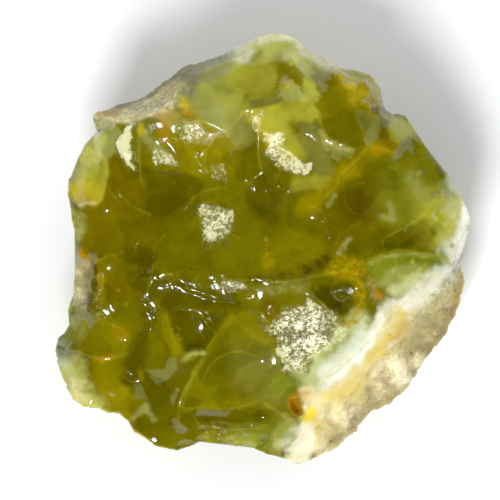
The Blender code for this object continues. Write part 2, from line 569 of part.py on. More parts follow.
def opal_material():
    """Wet looking olive opal."""
    material = bpy.data.materials.new("opal_stone")
    material.use_nodes = True
    shader = material.node_tree.nodes["Principled BSDF"]
    shader.inputs["Base Color"].default_value = OPAL_COLOUR
    shader.inputs["Roughness"].default_value = OPAL_ROUGHNESS
    shader.inputs["Metallic"].default_value = 0.0
    material.diffuse_color = OPAL_COLOUR
    return material


def make_opal():
    """The stone as one closed body, with its plan centred on the origin."""
    rng = random.Random(SEED)
    rim = make_rim()
    points, triangles = join_sides(rim, make_face(rim, rng), make_back(rim, rng))
    places = np.array(points)
    middle = (places.min(axis=0) + places.max(axis=0)) / 2
    places -= (middle[0], middle[1], 0.0)
    mesh = bpy.data.meshes.new("opal")
    mesh.from_pydata([tuple(place) for place in places * MM], [], triangles)
    body = bmesh.new()
    body.from_mesh(mesh)
    bmesh.ops.recalc_face_normals(body, faces=body.faces)
    body.to_mesh(mesh)
    body.free()
    mesh.shade_smooth()
    mesh.set_sharp_from_angle(angle=math.radians(SHARP_ANGLE))
    mesh.materials.append(opal_material())
    stone = bpy.data.objects.new("opal", mesh)
    bpy.context.scene.collection.objects.link(stone)
    return stone


def clear_scene():
    """Remove the objects that Blender starts with."""
    for old in list(bpy.data.objects):
        bpy.data.objects.remove(old, do_unlink=True)


clear_scene()
make_opal()
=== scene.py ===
"""Looks of the rough green opal.

The stone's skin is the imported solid's own surface, cut finer and then worked as the real
break was: pressed facets, shallow hollow scars with sharp rims, faces that glitter, small wet
domes and the grains of the rind. The finish comes from tones laid along named lines and in
named rings, and from noise.

X runs to the right of the face, Y to its upper edge and Z up out of it. Sizes are in
millimetres, and MM turns them into metres when the mesh is made.
"""

import math
import random

import bpy
import numpy as np
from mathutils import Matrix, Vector, noise


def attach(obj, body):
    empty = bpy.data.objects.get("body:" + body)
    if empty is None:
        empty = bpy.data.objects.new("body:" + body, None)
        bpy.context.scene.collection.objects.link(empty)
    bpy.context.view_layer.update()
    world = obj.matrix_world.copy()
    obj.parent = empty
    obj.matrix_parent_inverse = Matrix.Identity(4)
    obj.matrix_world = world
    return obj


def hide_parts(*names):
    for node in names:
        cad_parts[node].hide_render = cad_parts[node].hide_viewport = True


MM = 0.001
SEED = 11

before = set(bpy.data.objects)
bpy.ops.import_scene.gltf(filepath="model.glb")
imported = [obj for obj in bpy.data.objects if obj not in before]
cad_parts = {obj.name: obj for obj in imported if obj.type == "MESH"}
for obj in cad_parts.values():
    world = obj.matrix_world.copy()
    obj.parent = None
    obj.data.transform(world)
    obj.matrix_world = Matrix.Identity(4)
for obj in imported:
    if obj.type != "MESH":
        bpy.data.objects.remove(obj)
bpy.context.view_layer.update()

# The photograph's frame: its width in millimetres at the outline's height, and where its
# middle lies on the stone.
FRAME_WIDTH = 500 / 6.0
FRAME_MIDDLE = (-2.24, -0.12)
OUTLINE_HEIGHT = 16.0
CAMERA_HEIGHT = 1100.0
SENSOR_WIDTH = 36.0

# Direction to the key light: its bearing in the plan and its angle from straight up.
KEY_BEARING = (-0.34, -0.94)
KEY_ANGLE = 36.0

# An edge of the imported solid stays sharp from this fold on, in degrees.
OPAL_FOLD = 12.0
RIND_FOLD = 50.0

# Edges longer than these are cut in two, in one round each.
LONGEST_EDGES = (1.0, 0.8)

# The plan line where the rind starts on the lower right side, and the crest that bounds the
# rind on the upper left wall. Both are closed far outside the stone.
RIND_SIDE = (
    (8.9, -34.0), (9.6, -31.0), (10.2, -28.4), (12.6, -26.0), (15.0, -23.7), (17.5, -20.5),
    (20.0, -17.7), (22.5, -16.8), (24.8, -13.4), (26.6, -10.4), (28.6, -8.4), (30.0, -6.8),
    (30.9, -5.0), (31.6, -3.4), (40.0, -3.4), (40.0, -40.0), (8.9, -40.0),
)
RIND_WALL = (
    (-27.2, 22.1), (-24.0, 21.6), (-20.6, 21.8), (-17.3, 22.9), (-14.8, 25.4), (-13.1, 27.2),
    (-10.6, 28.8), (-5.6, 31.2), (-2.6, 33.0), (-2.6, 40.0), (-40.0, 40.0), (-40.0, 22.1),
)

# Fresh scars on the back: azimuth from, azimuth to and the height that they start at.
BACK_SCARS = ((132, 204, 3.0), (243, 281, 3.0), (12, 50, 3.5))

# How far the milky skirt of the rind reaches into the fresh scars, in millimetres, how many
# times as far it does at their foot, and the degrees of azimuth that a millimetre of the
# outline takes.
SKIRT = 1.4
SKIRT_AT_FOOT = 2.0
DEGREES_PER_MM = 1.8

# How soft the rind's edge is, and how it wanders, as (grain size, reach). The fresh scars are
# soft over so many degrees at their ends and millimetres at their foot, and their ends wander
# as (grain size, degrees).
RIND_SOFTNESS = 0.3
RIND_WANDER = ((1.7, 0.5), (5.0, 0.9))
SCAR_SOFTNESS = (1.0, 0.5)
SCAR_WANDER = (6.0, 8.0)

# Random scars: how many, their least and greatest radius and their depth as a share of the
# radius. Large ones come first, as on a stone that was struck and then chipped. The side
# rounds lie on the steep sides alone.
SCAR_ROUNDS = (
    (40, 3.6, 6.5, 0.030),
    (90, 1.8, 3.4, 0.036),
    (120, 0.9, 1.6, 0.050),
)
SIDE_ROUNDS = (
    (26, 2.2, 4.4, 0.050),
    (60, 0.9, 2.0, 0.060),
)

# A scar's depth varies between these shares. It is left out where it would cut deeper than
# DEEPEST_CUT or than its own depth times CUT_LIMIT, and it starts only where the rind's mask
# is under RIND_LIMIT.
DEPTH_SPREAD = (0.7, 1.3)
DEEPEST_CUT = 0.8
CUT_LIMIT = 3.5
RIND_LIMIT = 0.3

# Points this near to a rim are slid onto it. On skin that lies flatter to the scar's ball than
# this steepness they are slid only part of the way.
SNAP = 0.15
LEAST_STEEPNESS = 0.05

# How far round its middle a scar is looked for, in radii, and the rounds that even out the
# directions that scars face.
SCAR_REACH = 1.7
CALM_ROUNDS = 12

# The upright part of the direction that skin faces: from where it takes facets, from where it
# takes raised forms, where glitter sets in, where the green of the sides ends, where the paint
# of the face begins, and below which it takes the scars of the sides.
ON_FACE = 0.3
ON_RIM = 0.1
GLITTER_SETS_IN = (0.2, 0.5)
SIDE_ENDS = (0.1, 0.4)
PAINT_BEGINS = (-0.1, 0.1)
STEEP = 0.35

# How far a point sticks out past its neighbours where a ridge begins and where it is full.
RIDGE_BULGE = (0.006, 0.035)

# Facets that stay whole, as rings in the plan: the sparkling ones and the smooth mirrors. A
# sparkling one has how strongly it glitters, how far its edge reaches inwards and its ring. It
# is turned to the key light by TURN at the most, less where it glitters less, and its glitter
# fades out over its edge's reach times GLITTER_SOFTNESS.
TURN = 0.82
GLITTER_SOFTNESS = 0.8
SPARKLE_FACETS = {
    "upper left": (1.25, 0.5, (
        (-24.3, 19.0), (-22.7, 20.6), (-21.1, 20.6), (-21.7, 17.2), (-21.6, 15.0),
        (-20.8, 13.0), (-23.2, 14.3), (-24.6, 16.0))),
    "upper left, right of the seam": (0.8, 0.7, (
        (-19.6, 20.6), (-18.4, 20.8), (-18.6, 18.6), (-19.6, 17.4))),
    "web": (0.95, 0.7, (
        (-20.0, 17.6), (-17.3, 17.0), (-14.0, 14.6), (-14.2, 13.4), (-18.0, 14.0))),
    "yellow web": (0.85, 0.8, (
        (-14.6, 17.4), (-13.2, 21.2), (-10.0, 21.2), (-9.2, 18.2), (-11.0, 16.8))),
    "round scar rim": (0.9, 0.5, (
        (-10.6, 18.0), (-7.0, 19.4), (-6.9, 18.0), (-9.6, 17.0))),
    "web's lower edge": (0.8, 0.5, (
        (-9.6, 13.4), (-8.2, 14.4), (-5.6, 13.4), (-6.2, 11.2), (-8.6, 11.2))),
    "gully": (0.95, 0.6, (
        (-2.2, 18.6), (-1.8, 22.4), (0.5, 22.7), (0.5, 19.0))),
    "top mass": (1.15, 0.9, (
        (-0.6, 15.0), (0.0, 19.2), (3.2, 19.4), (4.6, 16.2), (8.0, 13.8), (6.8, 12.2),
        (3.0, 13.0))),
    "centre": (0.97, 1.3, (
        (-10.8, 2.2), (-11.0, 6.6), (-8.0, 8.2), (-4.8, 6.6), (-4.0, 4.6), (-5.2, 0.8),
        (-8.8, -0.4))),
    "under the brow": (0.9, 0.6, (
        (-7.4, -4.1), (-4.1, -4.6), (-2.1, -7.4), (-6.4, -7.4))),
    "lower edge": (0.62, 0.8, (
        (-11.0, -29.4), (-8.0, -28.2), (0.2, -28.4), (1.4, -31.8), (-3.0, -33.0), (-7.6, -32.2),
        (-11.6, -31.0))),
    "left crack": (0.62, 0.6, (
        (-28.6, -4.6), (-26.6, -4.6), (-26.2, -11.4), (-28.8, -11.8), (-29.4, -8.0))),
    "brow": (0.6, 0.6, (
        (-1.0, -3.8), (7.8, -3.8), (8.4, -6.0), (0.0, -6.2))),
    "dark scar": (0.62, 0.7, (
        (11.4, -6.4), (15.4, -6.2), (15.0, -10.0), (13.0, -10.6), (11.2, -9.2))),
    "big scar": (0.98, 1.6, (
        (-2.0, -10.0), (0.8, -12.0), (3.0, -8.8), (8.0, -8.2), (11.8, -9.8), (14.0, -12.4),
        (14.2, -15.4), (9.8, -17.8), (7.4, -20.6), (3.8, -22.0), (2.2, -18.6), (1.0, -15.6),
        (-1.6, -12.6))),
}
MIRROR_FACETS = {
    "lower left": ((-19.3, -20.0), (-16.5, -20.0), (-15.8, -18.0), (-14.6, -17.9),
                   (-14.2, -19.8), (-16.0, -21.8), (-17.8, -22.5)),
    "lower left corner": ((-21.3, -22.0), (-20.0, -22.5), (-19.2, -25.0), (-21.5, -25.0)),
    "triangle": ((15.2, 22.8), (15.4, 21.5), (16.5, 19.5), (17.0, 16.5), (18.6, 18.0),
                 (19.2, 20.0), (19.9, 22.0)),
    "white band": ((8.0, -21.0), (15.6, -12.6), (20.0, -10.0), (30.0, -3.0), (32.0, -6.0),
                   (24.0, -13.0), (14.0, -26.0), (9.0, -29.0), (6.0, -30.0), (7.0, -24.0)),
    "mint facet": ((18.0, -1.5), (31.0, -1.5), (26.0, -4.0), (22.0, -7.0), (19.5, -5.5)),
}

# Colours by name, as a screen shows them.
PALETTE = {
    "olive": (108, 102, 1), "deep olive": (88, 82, 0), "brown olive": (108, 92, 0),
    "brown": (84, 68, 2), "green olive": (116, 124, 24), "yellow olive": (128, 118, 2),
    "yellow": (158, 138, 4), "bright yellow": (205, 185, 40), "orange": (176, 122, 10),
    "amber": (186, 128, 4), "rust": (78, 52, 4), "lime": (170, 167, 50),
    "milky lime": (192, 192, 102), "grey lime": (153, 154, 80), "grey olive": (120, 118, 42),
    "mint": (192, 198, 134), "white": (228, 226, 200), "blue white": (216, 220, 198),
    "cream": (232, 219, 168), "yellow cream": (222, 194, 80), "tan": (188, 166, 92),
    "grey tan": (160, 148, 92), "shade": (136, 118, 72), "grey": (118, 118, 92),
    "edge": (150, 150, 30), "sky reflection olive": (126, 126, 62), "rind": (208, 194, 144),
    "warm white": (236, 228, 196), "pale yellow": (243, 239, 192), "bright white": (248, 246, 232),
    "lemon": (236, 212, 40), "blue grey": (128, 136, 124), "black": (46, 42, 24),
}

# The paint: strokes as (colour, strength, half width at full strength, half width where it
# ends, points of each of its lines), laid one over the other. The facets' tones go on just
# before the group "top mass".
PAINT = {
    "body tones": (
        ("brown olive", 0.7, 5.0, 11.0, ((-24, 6), (-22, -1))),
        ("deep olive", 0.8, 3.0, 8.0, ((-19, -24), (-13, -13), (-16, -7))),
        ("deep olive", 0.7, 1.5, 4.0, ((-22, -2), (-19, -4))),
        ("deep olive", 0.6, 2.0, 5.0, ((-17, 8), (-21, 10))),
        ("yellow olive", 0.7, 3.0, 6.0, ((-16, 16.5), (-8, 15), (-13, 20))),
        ("yellow", 0.45, 1.5, 5.0, ((-14, 18.6), (-8, 16))),
        ("yellow olive", 0.5, 2.0, 5.0, ((2, -1), (5, -1.5))),
        ("yellow olive", 0.6, 2.0, 4.0, ((11.5, 22), (14, 19.5))),
        ("brown olive", 0.7, 3.0, 8.0, ((16, 8), (14, 3))),
        ("brown", 0.7, 0.8, 3.5, ((16.4, 7.8), (17.6, 6.2))),
        ("green olive", 0.5, 3.0, 8.0, ((27, 10), (23, 8))),
        ("deep olive", 0.5, 2.0, 5.0, ((0, 7), (2, 10))),
        ("grey olive", 0.7, 2.0, 6.0, ((-3, -18), (0, -22), (3, -22.5))),
        ("yellow olive", 0.7, 2.0, 5.0, ((-26, -14), (-26, -16.5))),
        ("yellow olive", 0.7, 1.5, 3.5, ((-25, -25), (-22.5, -26))),
        ("green olive", 0.7, 1.5, 4.0, ((0, -31.5), (-3, -31.8))),
    ),
    "top": (
        ("lime", 0.95, 4.0, 8.0, ((-7, 27), (-1, 31), (4, 30))),
        ("grey lime", 0.6, 1.5, 4.5, ((-12.5, 25.5), (-9, 26), (-7, 22.5), (-5, 20))),
        ("milky lime", 0.9, 1.3, 3.2, ((-9, 30.5), (-3.5, 32.6), (1, 33.8), (5, 33))),
        ("white", 0.6, 0.7, 1.6, ((-4.0, 31.8), (-2.4, 31.9))),
        ("olive", 0.75, 1.0, 2.2, ((2.6, 30.8), (3.6, 29.2), (5.5, 28.5), (6.3, 26.8))),
        ("olive", 0.35, 0.5, 2.6, ((-2.8, 26.4), (0.5, 26.2), (2.4, 26.6))),
        ("olive", 0.5, 0.3, 0.9, ((-1.6, 31.5), (-0.6, 32.4))),
        ("green olive", 0.5, 0.5, 1.5, ((-7.4, 26.8), (-6.4, 26.4))),
        ("deep olive", 0.7, 0.4, 1.0, ((-2.9, 24.9), (-2.7, 23.9))),
        # Painted shade and painted sky reflection on the step face below the top crest.
        ("grey olive", 0.9, 0.5, 0.9, ((-2.0, 24.0), (0.5, 24.2), (2.6, 24.5))),
        # Painted shadow: thin dark lines along the crack of the step.
        ("black", 0.8, 0.1, 0.45, ((2.9, 24.1), (3.5, 25.6))),
        ("black", 0.7, 0.08, 0.35, ((3.5, 25.6), (3.9, 26.6), (4.1, 27.6))),
        # Painted highlight beside the crack.
        ("bright yellow", 0.7, 0.4, 1.0, ((4.1, 26.4), (4.6, 27.2))),
        ("milky lime", 0.8, 0.6, 1.4, ((4.6, 25.8), (5.6, 26.2), (6.6, 25.2), (9.0, 25.6)),
         ((5.3, 31.0), (7.0, 29.0), (8.0, 27.0), (8.9, 25.3))),
        ("lime", 0.8, 1.2, 2.6, ((-1.5, 22.6), (3, 21.8), (6, 23), (8, 22.2))),
        ("olive", 0.8, 1.0, 2.2, ((8.6, 28.8), (10.2, 26.8), (10.6, 24.4), (13, 23.6))),
        ("olive", 0.8, 0.3, 0.8, ((8.7, 21.1), (8.2, 19.2))),
        ("olive", 0.8, 0.5, 1.0, ((10.0, 20.5), (9.8, 19.4))),
        ("lime", 0.5, 0.5, 2.0, ((9.5, 31), (13, 28), (14, 25))),
        ("white", 0.8, 0.3, 1.6, ((-9, 31.4), (-5.6, 33.0), (-1.3, 34.8), (1.9, 35.7), (5.5, 34.6),
                                 (7.9, 32.3), (11.5, 30.8), (13, 29.9))),
    ),
    "top mass": (
        ("lime", 0.7, 1.5, 3.0, ((1, 20.5), (3.5, 18), (5.5, 16.5))),
        ("bright yellow", 0.6, 0.4, 1.4, ((-1.6, 21.6), (-0.6, 20.4), (0.4, 18.8))),
        ("bright yellow", 0.4, 0.6, 2.4, ((1.0, 17.0), (4.0, 15.0))),
        ("grey olive", 0.9, 1.4, 2.6, ((7.4, 18.8), (8.5, 16.5), (9.3, 14.6), (9.6, 12.8))),
        ("milky lime", 0.4, 0.2, 0.8, ((9.4, 19.3), (10.4, 17.7), (12.3, 16.9), (14.4, 16.3))),
        ("lime", 0.6, 0.6, 1.6, ((5.6, 10.8), (8, 11.6), (10, 10.8))),
        ("yellow", 0.55, 0.8, 2.6, ((21.8, 18.4), (20.4, 16.8), (17, 15.6), (14.2, 13.2))),
        ("amber", 0.3, 0.3, 1.6, ((21.6, 18.6), (20.8, 17.0), (18.4, 16.2))),
        ("yellow", 0.6, 0.9, 2.8, ((14.2, 13.2), (10.8, 10.0), (8.8, 8.4), (7.4, 7.0))),
        ("grey lime", 0.7, 0.2, 0.6, ((10.6, 7.0), (12.0, 9.0))),
        ("deep olive", 0.5, 0.8, 2.2, ((1.5, 13), (-0.5, 10.5))),
    ),
    "upper right corner": (
        ("yellow", 0.8, 2.0, 3.6, ((14.2, 28.0), (16.2, 26.6), (17.2, 24.8))),
        ("bright yellow", 0.5, 0.5, 2.0, ((14, 27.8), (16.3, 25.4))),
        ("grey lime", 0.8, 0.5, 1.3, ((13.4, 29.5), (16.6, 28.9), (18.6, 27.2), (19.6, 24.8))),
        ("brown", 0.8, 0.4, 1.0, ((18.4, 22.9), (19.5, 22.8))),
        ("grey olive", 0.9, 0.7, 1.1, ((15.9, 22.2), (17.2, 20.4), (17.6, 18.2))),
        ("grey lime", 0.6, 0.6, 1.0, ((18.6, 21.6), (18.2, 19.4), (17.2, 17.6))),
        ("brown olive", 0.8, 0.8, 1.8, ((20.2, 20.4), (20.6, 18.2))),
        ("olive", 0.8, 0.6, 1.4, ((20.4, 22.2), (19.8, 20.4))),
        ("lime", 0.8, 1.3, 2.4, ((22.6, 20.5), (23.2, 19.4))),
        ("yellow", 0.5, 0.2, 0.7, ((19.4, 16.0), (21.2, 15.8))),
        ("green olive", 0.4, 0.3, 1.3, ((25.0, 19.6), (27.0, 16.6), (29.2, 13.8))),
        # Painted shade, lit blue by the sky, along the upper right edge that faces away from the
        # key light.
        ("blue grey", 0.6, 0.2, 0.9, ((28.0, 15.8), (30.6, 12.4), (32.6, 9.8))),
        ("blue white", 0.8, 0.2, 1.5, ((31.2, 11.4), (33.0, 8.8), (33.9, 6.6))),
    ),
    "right side": (
        ("lime", 0.8, 1.8, 5.0, ((29, 7.5), (31, 5), (28.5, 3.5))),
        ("olive", 0.5, 1.5, 4.0, ((23.0, 16.0), (26.0, 13.6), (27.0, 11.6))),
        ("grey lime", 0.5, 0.5, 1.8, ((24.4, 11.6), (25.6, 9.6), (27.6, 8.4))),
        ("grey lime", 0.6, 0.3, 1.0, ((19.5, 5.5), (21.4, 5.2), (21, 7.6))),
        ("milky lime", 0.8, 0.25, 0.7, ((28.4, 5.1),), ((29.5, 6.2),)),
        ("milky lime", 0.8, 0.2, 0.6, ((30.0, 4.0),)),
        ("deep olive", 0.8, 1.0, 2.4, ((17.8, 0.6), (21, 1.8), (24, 2.4), (26.4, 2.6))),
        ("milky lime", 0.8, 0.8, 3.0, ((32.8, 7.4), (31.8, 3.6), (30.4, 0.6))),
        ("white", 1.0, 1.0, 2.3, ((34.0, 7.4), (33.6, 4.0), (33.0, 1.2), (31.4, -0.4))),
        ("bright white", 0.8, 0.3, 1.3, ((34.0, 6.8), (33.5, 3.6), (32.6, 0.8))),
        ("white", 0.9, 0.3, 1.0, ((31.6, -1.0), (29.2, -0.6))),
        ("milky lime", 0.6, 0.15, 0.6, ((17.6, -2.2), (20.5, -1.2), (24.5, -0.8), (29.0, -1.2))),
        ("yellow olive", 0.9, 0.2, 0.55, ((31.3, 0.6),)),
    ),
    "mint facet": (
        ("green olive", 0.9, 1.4, 2.6, ((18.8, -3.0), (22, -2.8), (26, -2.4), (29.5, -2.2))),
        ("grey lime", 0.8, 0.8, 2.0, ((20.2, -5.0), (23, -4.2), (26.5, -3.6))),
        ("mint", 0.9, 0.5, 1.5, ((21.5, -6.9), (24.5, -5.6), (27.4, -4.4))),
        ("milky lime", 0.7, 0.2, 0.6, ((21.5, -3.6),)),
        ("milky lime", 0.7, 0.3, 0.7, ((22.6, -4.6), (24.8, -5.2))),
        ("milky lime", 0.7, 0.2, 0.6, ((26.0, -3.2),)),
        ("milky lime", 0.7, 0.15, 0.5, ((24.7, -2.0),)),
        ("blue white", 0.9, 0.7, 2.0, ((30.2, -3.4), (29.2, -4.2), (27.6, -5.6))),
    ),
    "white band": (
        ("mint", 0.95, 1.6, 3.4, ((15.6, -12.6), (12.8, -16.0), (9.6, -19.8), (7.6, -21.6))),
        ("grey lime", 0.6, 0.4, 1.4, ((13.6, -14.6), (10.6, -17.6))),
        ("green olive", 0.7, 0.8, 2.4, ((2.4, -22.6), (5.6, -22.4))),
        ("blue white", 0.9, 0.6, 2.2, ((16.6, -13.8), (14.0, -17.4), (10.4, -21.0))),
        ("cream", 0.95, 2.2, 3.8, ((29.4, -7.4), (24.4, -10.0), (21.4, -14.0), (17.6, -18.4),
                                   (13.2, -22.6), (9.6, -26.2), (8.2, -31.2))),
        ("white", 1.0, 1.0, 2.4, ((30.6, -5.0), (27.0, -7.0), (23.4, -9.0), (20.0, -11.4),
                                 (19.2, -13.6), (17.4, -16.0), (14.0, -19.4), (10.6, -22.0))),
        ("bright white", 0.8, 0.15, 0.9, ((11.0, -22.0), (14.0, -19.3), (17.7, -15.8),
                                          (19.5, -13.2), (19.8, -11.0))),
        ("yellow cream", 0.8, 0.8, 2.0, ((22.6, -11.0), (20.6, -14.4), (17.8, -18.2))),
        ("yellow cream", 0.6, 0.7, 2.0, ((16.4, -20.4), (13.4, -23.4), (10.0, -25.2))),
        ("orange", 0.45, 0.5, 2.0, ((23.6, -12.6), (22.6, -14.4))),
        ("tan", 0.8, 0.15, 0.7, ((22.6, -16.2), (19.4, -18.4), (17.4, -20.6), (15.2, -23.4),
                                (14.0, -25.2))),
        ("milky lime", 0.6, 0.6, 2.4, ((3.6, -29.6), (2.4, -32.6))),
        ("blue white", 0.6, 0.3, 1.0, ((5.2, -29.6), (3.4, -32.4))),
        ("warm white", 1.0, 1.8, 2.4, ((7.0, -30.4), (6.2, -33.2), (5.8, -35.6))),
        ("yellow cream", 0.7, 0.5, 1.6, ((9.0, -29.6), (8.0, -26.8))),
        ("black", 0.95, 0.1, 0.3, ((20.9, -14.0),)),
        ("black", 0.95, 0.1, 0.28, ((14.7, -24.2),)),
    ),
    "pocket": (
        ("cream", 0.8, 1.0, 2.2, ((7.4, -24.0), (8.6, -25.4))),
        ("orange", 0.6, 0.3, 1.2, ((4.4, -24.6), (7.4, -24.0))),
        ("amber", 1.0, 0.9, 1.35, ((5.0, -25.5), (5.6, -26.8))),
        ("cream", 0.9, 0.3, 0.7, ((6.8, -26.2), (7.0, -27.0))),
        ("lemon", 1.0, 0.7, 1.4, ((7.9, -26.8), (7.1, -28.1))),
        ("yellow cream", 0.2, 0.05, 0.4, ((0.2, -25.6), (2.6, -27.2), (4.6, -28.6))),
        ("green olive", 0.6, 0.6, 2.0, ((2.4, -28.6), (3.6, -30.6))),
    ),
    "rind": (
        ("grey tan", 0.9, 2.5, 4.5, ((30.5, -8.5), (28.0, -12.5), (26.5, -15.5))),
        # Painted shade on a face that turns away from the key light.
        ("shade", 0.6, 0.5, 2.0, ((30.6, -13.6), (28.4, -16.4))),
        ("cream", 0.9, 2.2, 3.6, ((22.4, -20.0), (23.4, -21.2))),
        ("cream", 0.8, 0.9, 1.8, ((25.8, -18.4),)),
        ("cream", 0.8, 1.4, 2.6, ((12.6, -27.2), (13.4, -28.2))),
        ("tan", 0.6, 1.0, 2.4, ((18.2, -23.4), (16.4, -25.6))),
        # Painted shade towards the lower outline.
        ("shade", 0.6, 0.5, 2.0, ((19.4, -26.4), (16.0, -29.4), (13.4, -32.4))),
        ("tan", 0.7, 0.8, 2.0, ((10.2, -30.4), (12.0, -29.8))),
        ("yellow", 0.5, 0.8, 2.0, ((32.6, -5.4), (33.0, -8.4))),
        ("orange", 0.4, 0.3, 1.2, ((32.0, -8.4), (31.4, -9.6))),
        # Painted shade on the right edge, which faces away from the key light.
        ("shade", 0.8, 0.3, 1.0, ((34.2, 3.6), (33.8, 0.6), (32.8, -2.4))),
        ("black", 0.9, 0.3, 0.6, ((11.4, -32.3),)),
        ("black", 0.8, 0.1, 0.35, ((21.0, -24.9),)),
        ("black", 0.7, 0.1, 0.35, ((24.6, -17.2),)),
        ("black", 0.8, 0.2, 0.5, ((30.4, -10.1),), ((32.1, -6.9),)),
    ),
    "rind lumps": (
        # Painted shade along the lower right outline and in the crevices round the lumps.
        ("shade", 0.6, 0.2, 1.3, ((32.0, -9.6), (29.2, -15.2), (26.6, -19.8), (22.0, -25.2),
                                   (16.8, -30.2), (13.6, -33.0))),
        ("shade", 0.4, 0.2, 0.8, ((24.6, -17.6), (25.0, -20.0), (25.6, -22.0))),
        ("shade", 0.35, 0.2, 0.8, ((20.2, -18.6), (20.2, -21.4), (21.6, -23.4))),
        ("shade", 0.3, 0.2, 0.8, ((17.4, -21.8), (17.8, -24.8), (16.6, -27.0)),
         ((10.8, -26.6), (10.6, -28.6), (12.0, -30.0))),
        ("warm white", 0.75, 1.1, 2.3, ((22.4, -20.0), (23.2, -21.2))),
        ("cream", 0.8, 0.5, 1.3, ((26.2, -18.4),)),
        ("cream", 0.7, 0.5, 1.4, ((19.2, -22.8),)),
        ("cream", 0.75, 0.9, 1.9, ((12.8, -27.2), (13.6, -28.0))),
        ("yellow cream", 0.4, 0.6, 1.8, ((16.0, -22.4), (13.0, -25.0))),
    ),
    # Stains, with painted shade and a painted sky reflection among them.
    "stains": (
        ("yellow", 0.8, 0.8, 2.2, ((11.6, -3.0), (15.4, -3.2))),
        ("orange", 0.5, 0.2, 1.0, ((12.2, -4.2), (16.2, -3.8))),
        ("brown", 0.8, 0.6, 2.0, ((7.4, -3.6), (10.0, -1.6))),
        ("yellow", 0.8, 0.5, 1.4, ((15.8, -5.6), (16.2, -8.4), (15.2, -11.6), (13.4, -12.4))),
        ("orange", 0.6, 0.2, 0.6, ((15.8, -9.6), (15.2, -11.4))),
        ("tan", 0.5, 0.4, 1.4, ((17.6, -5.6), (18.6, -7.8), (19.6, -8.4))),
        ("orange", 0.9, 0.15, 0.5, ((18.7, -6.8), (19.3, -7.8))),
        # Painted shade in the hollow behind the big scar's ridge and under the brow.
        ("deep olive", 0.8, 1.2, 2.8, ((9.6, -6.6), (12.2, -8.2), (12.0, -10.0))),
        ("deep olive", 0.7, 0.4, 1.2, ((-2.4, -4.9), (2.4, -4.9), (6.6, -4.6))),
        # Painted reflection of the sky below the brow.
        ("grey lime", 0.35, 0.3, 1.0, ((1.0, -6.4), (4.0, -6.4), (6.8, -6.6))),
        ("grey lime", 0.8, 0.3, 0.8, ((12.6, -0.6), (14.2, 1.4))),
        ("yellow", 0.6, 0.3, 1.2, ((0.6, 0.2), (1.4, -1.4), (0.8, -2.8))),
        ("black", 0.8, 0.1, 0.3, ((12.6, 9.0),)),
        ("black", 0.7, 0.08, 0.28, ((-4.2, 8.2),)),
    ),
    "wall ground": (
        # Painted shade over the steep upper left wall, which faces away from the key light.
        ("grey", 0.65, 2.0, 4.0, ((-24.0, 23.8), (-18.0, 25.0), (-13.0, 28.6), (-8.0, 31.2))),
    ),
    "upper left wall": (
        # Painted shade on the wall.
        ("grey", 0.8, 2.0, 3.6, ((-25, 23.2), (-18, 24.2), (-13, 27.6))),
        ("cream", 0.4, 1.0, 2.8, ((-24.4, 22.8), (-19.0, 24.0), (-15.0, 26.2))),
        ("cream", 0.5, 0.3, 1.2, ((-21.4, 24.4), (-19.0, 24.9)), ((-16.6, 25.4), (-14.6, 26.2))),
        ("cream", 0.6, 0.4, 1.4, ((-26.6, 21.7), (-22, 22.0), (-18, 22.6), (-15.6, 23.6))),
        ("cream", 0.6, 0.3, 1.0, ((-19.6, 24.8), (-17.0, 25.2))),
        ("orange", 0.6, 0.3, 1.1, ((-26.4, 22.6), (-24.6, 22.4))),
        ("tan", 0.6, 0.5, 1.8, ((-16, 26.4), (-14.6, 27.0))),
        # Painted shade on the wall's outer rim.
        ("grey", 0.9, 0.5, 1.6, ((-24, 24.2), (-19.8, 25.8), (-16.4, 28.2), (-13.8, 30.2),
                                (-9.8, 31.4), (-7.4, 32.2))),
        # Painted shade, lit blue by the sky, along the wall's outer rim.
        ("blue grey", 0.6, 0.2, 0.9, ((-12.0, 29.6), (-8.6, 30.8), (-5.0, 32.8))),
        ("bright yellow", 0.7, 0.4, 1.4, ((-13.4, 24.4), (-12.8, 23.2))),
        ("orange", 0.5, 0.3, 1.2, ((-12.6, 22.6), (-11.2, 22.8))),
    ),
    "upper left": (
        ("grey lime", 0.9, 1.2, 2.0, ((-26.0, 20.2), (-25.4, 18.0), (-26.0, 16.6))),
        ("milky lime", 0.95, 1.4, 2.6, ((-28.2, 17.8), (-29.0, 15.6))),
        ("lime", 0.9, 1.2, 2.6, ((-29.4, 13.6), (-30.4, 11.0))),
        ("bright yellow", 0.6, 1.0, 2.6, ((-30.4, 9.8), (-28.4, 9.4))),
        ("orange", 0.3, 0.3, 1.2, ((-30.0, 8.6), (-28.6, 8.8))),
        ("cream", 0.4, 0.12, 0.4, ((-30.4, 7.4), (-28.0, 7.7))),
        ("black", 0.7, 0.15, 0.4, ((-31.7, 7.4), (-31.0, 7.3))),
        ("bright yellow", 0.7, 0.3, 0.9, ((-20.2, 20.4), (-19.8, 19.2))),
        ("orange", 0.7, 0.2, 0.9, ((-17.0, 21.8), (-16.4, 19.4), (-15.9, 18.2))),
        ("tan", 0.7, 0.4, 1.6, ((-16.6, 22.4), (-14.8, 21.4))),
        ("grey lime", 0.8, 0.5, 1.4, ((-19.4, 18.4), (-18.0, 16.6), (-16.6, 15.6))),
        ("grey lime", 0.7, 0.6, 1.6, ((-13.8, 20.2), (-12.2, 20.0))),
        ("grey olive", 0.8, 0.3, 0.8, ((-21.2, 17.6), (-20.9, 14.6))),
        ("lime", 0.6, 0.2, 0.7, ((-26.2, 15.2), (-26.0, 12.4), (-26.6, 9.4))),
    ),
    "left edge": (
        # Painted shade, lit blue by the sky, on the left edge that faces away from the key light.
        ("blue grey", 0.8, 0.3, 0.9, ((-31.2, 3.0), (-31.0, -1.8))),
        ("orange", 0.7, 0.3, 1.0, ((-30.2, -0.4), (-29.4, -2.2))),
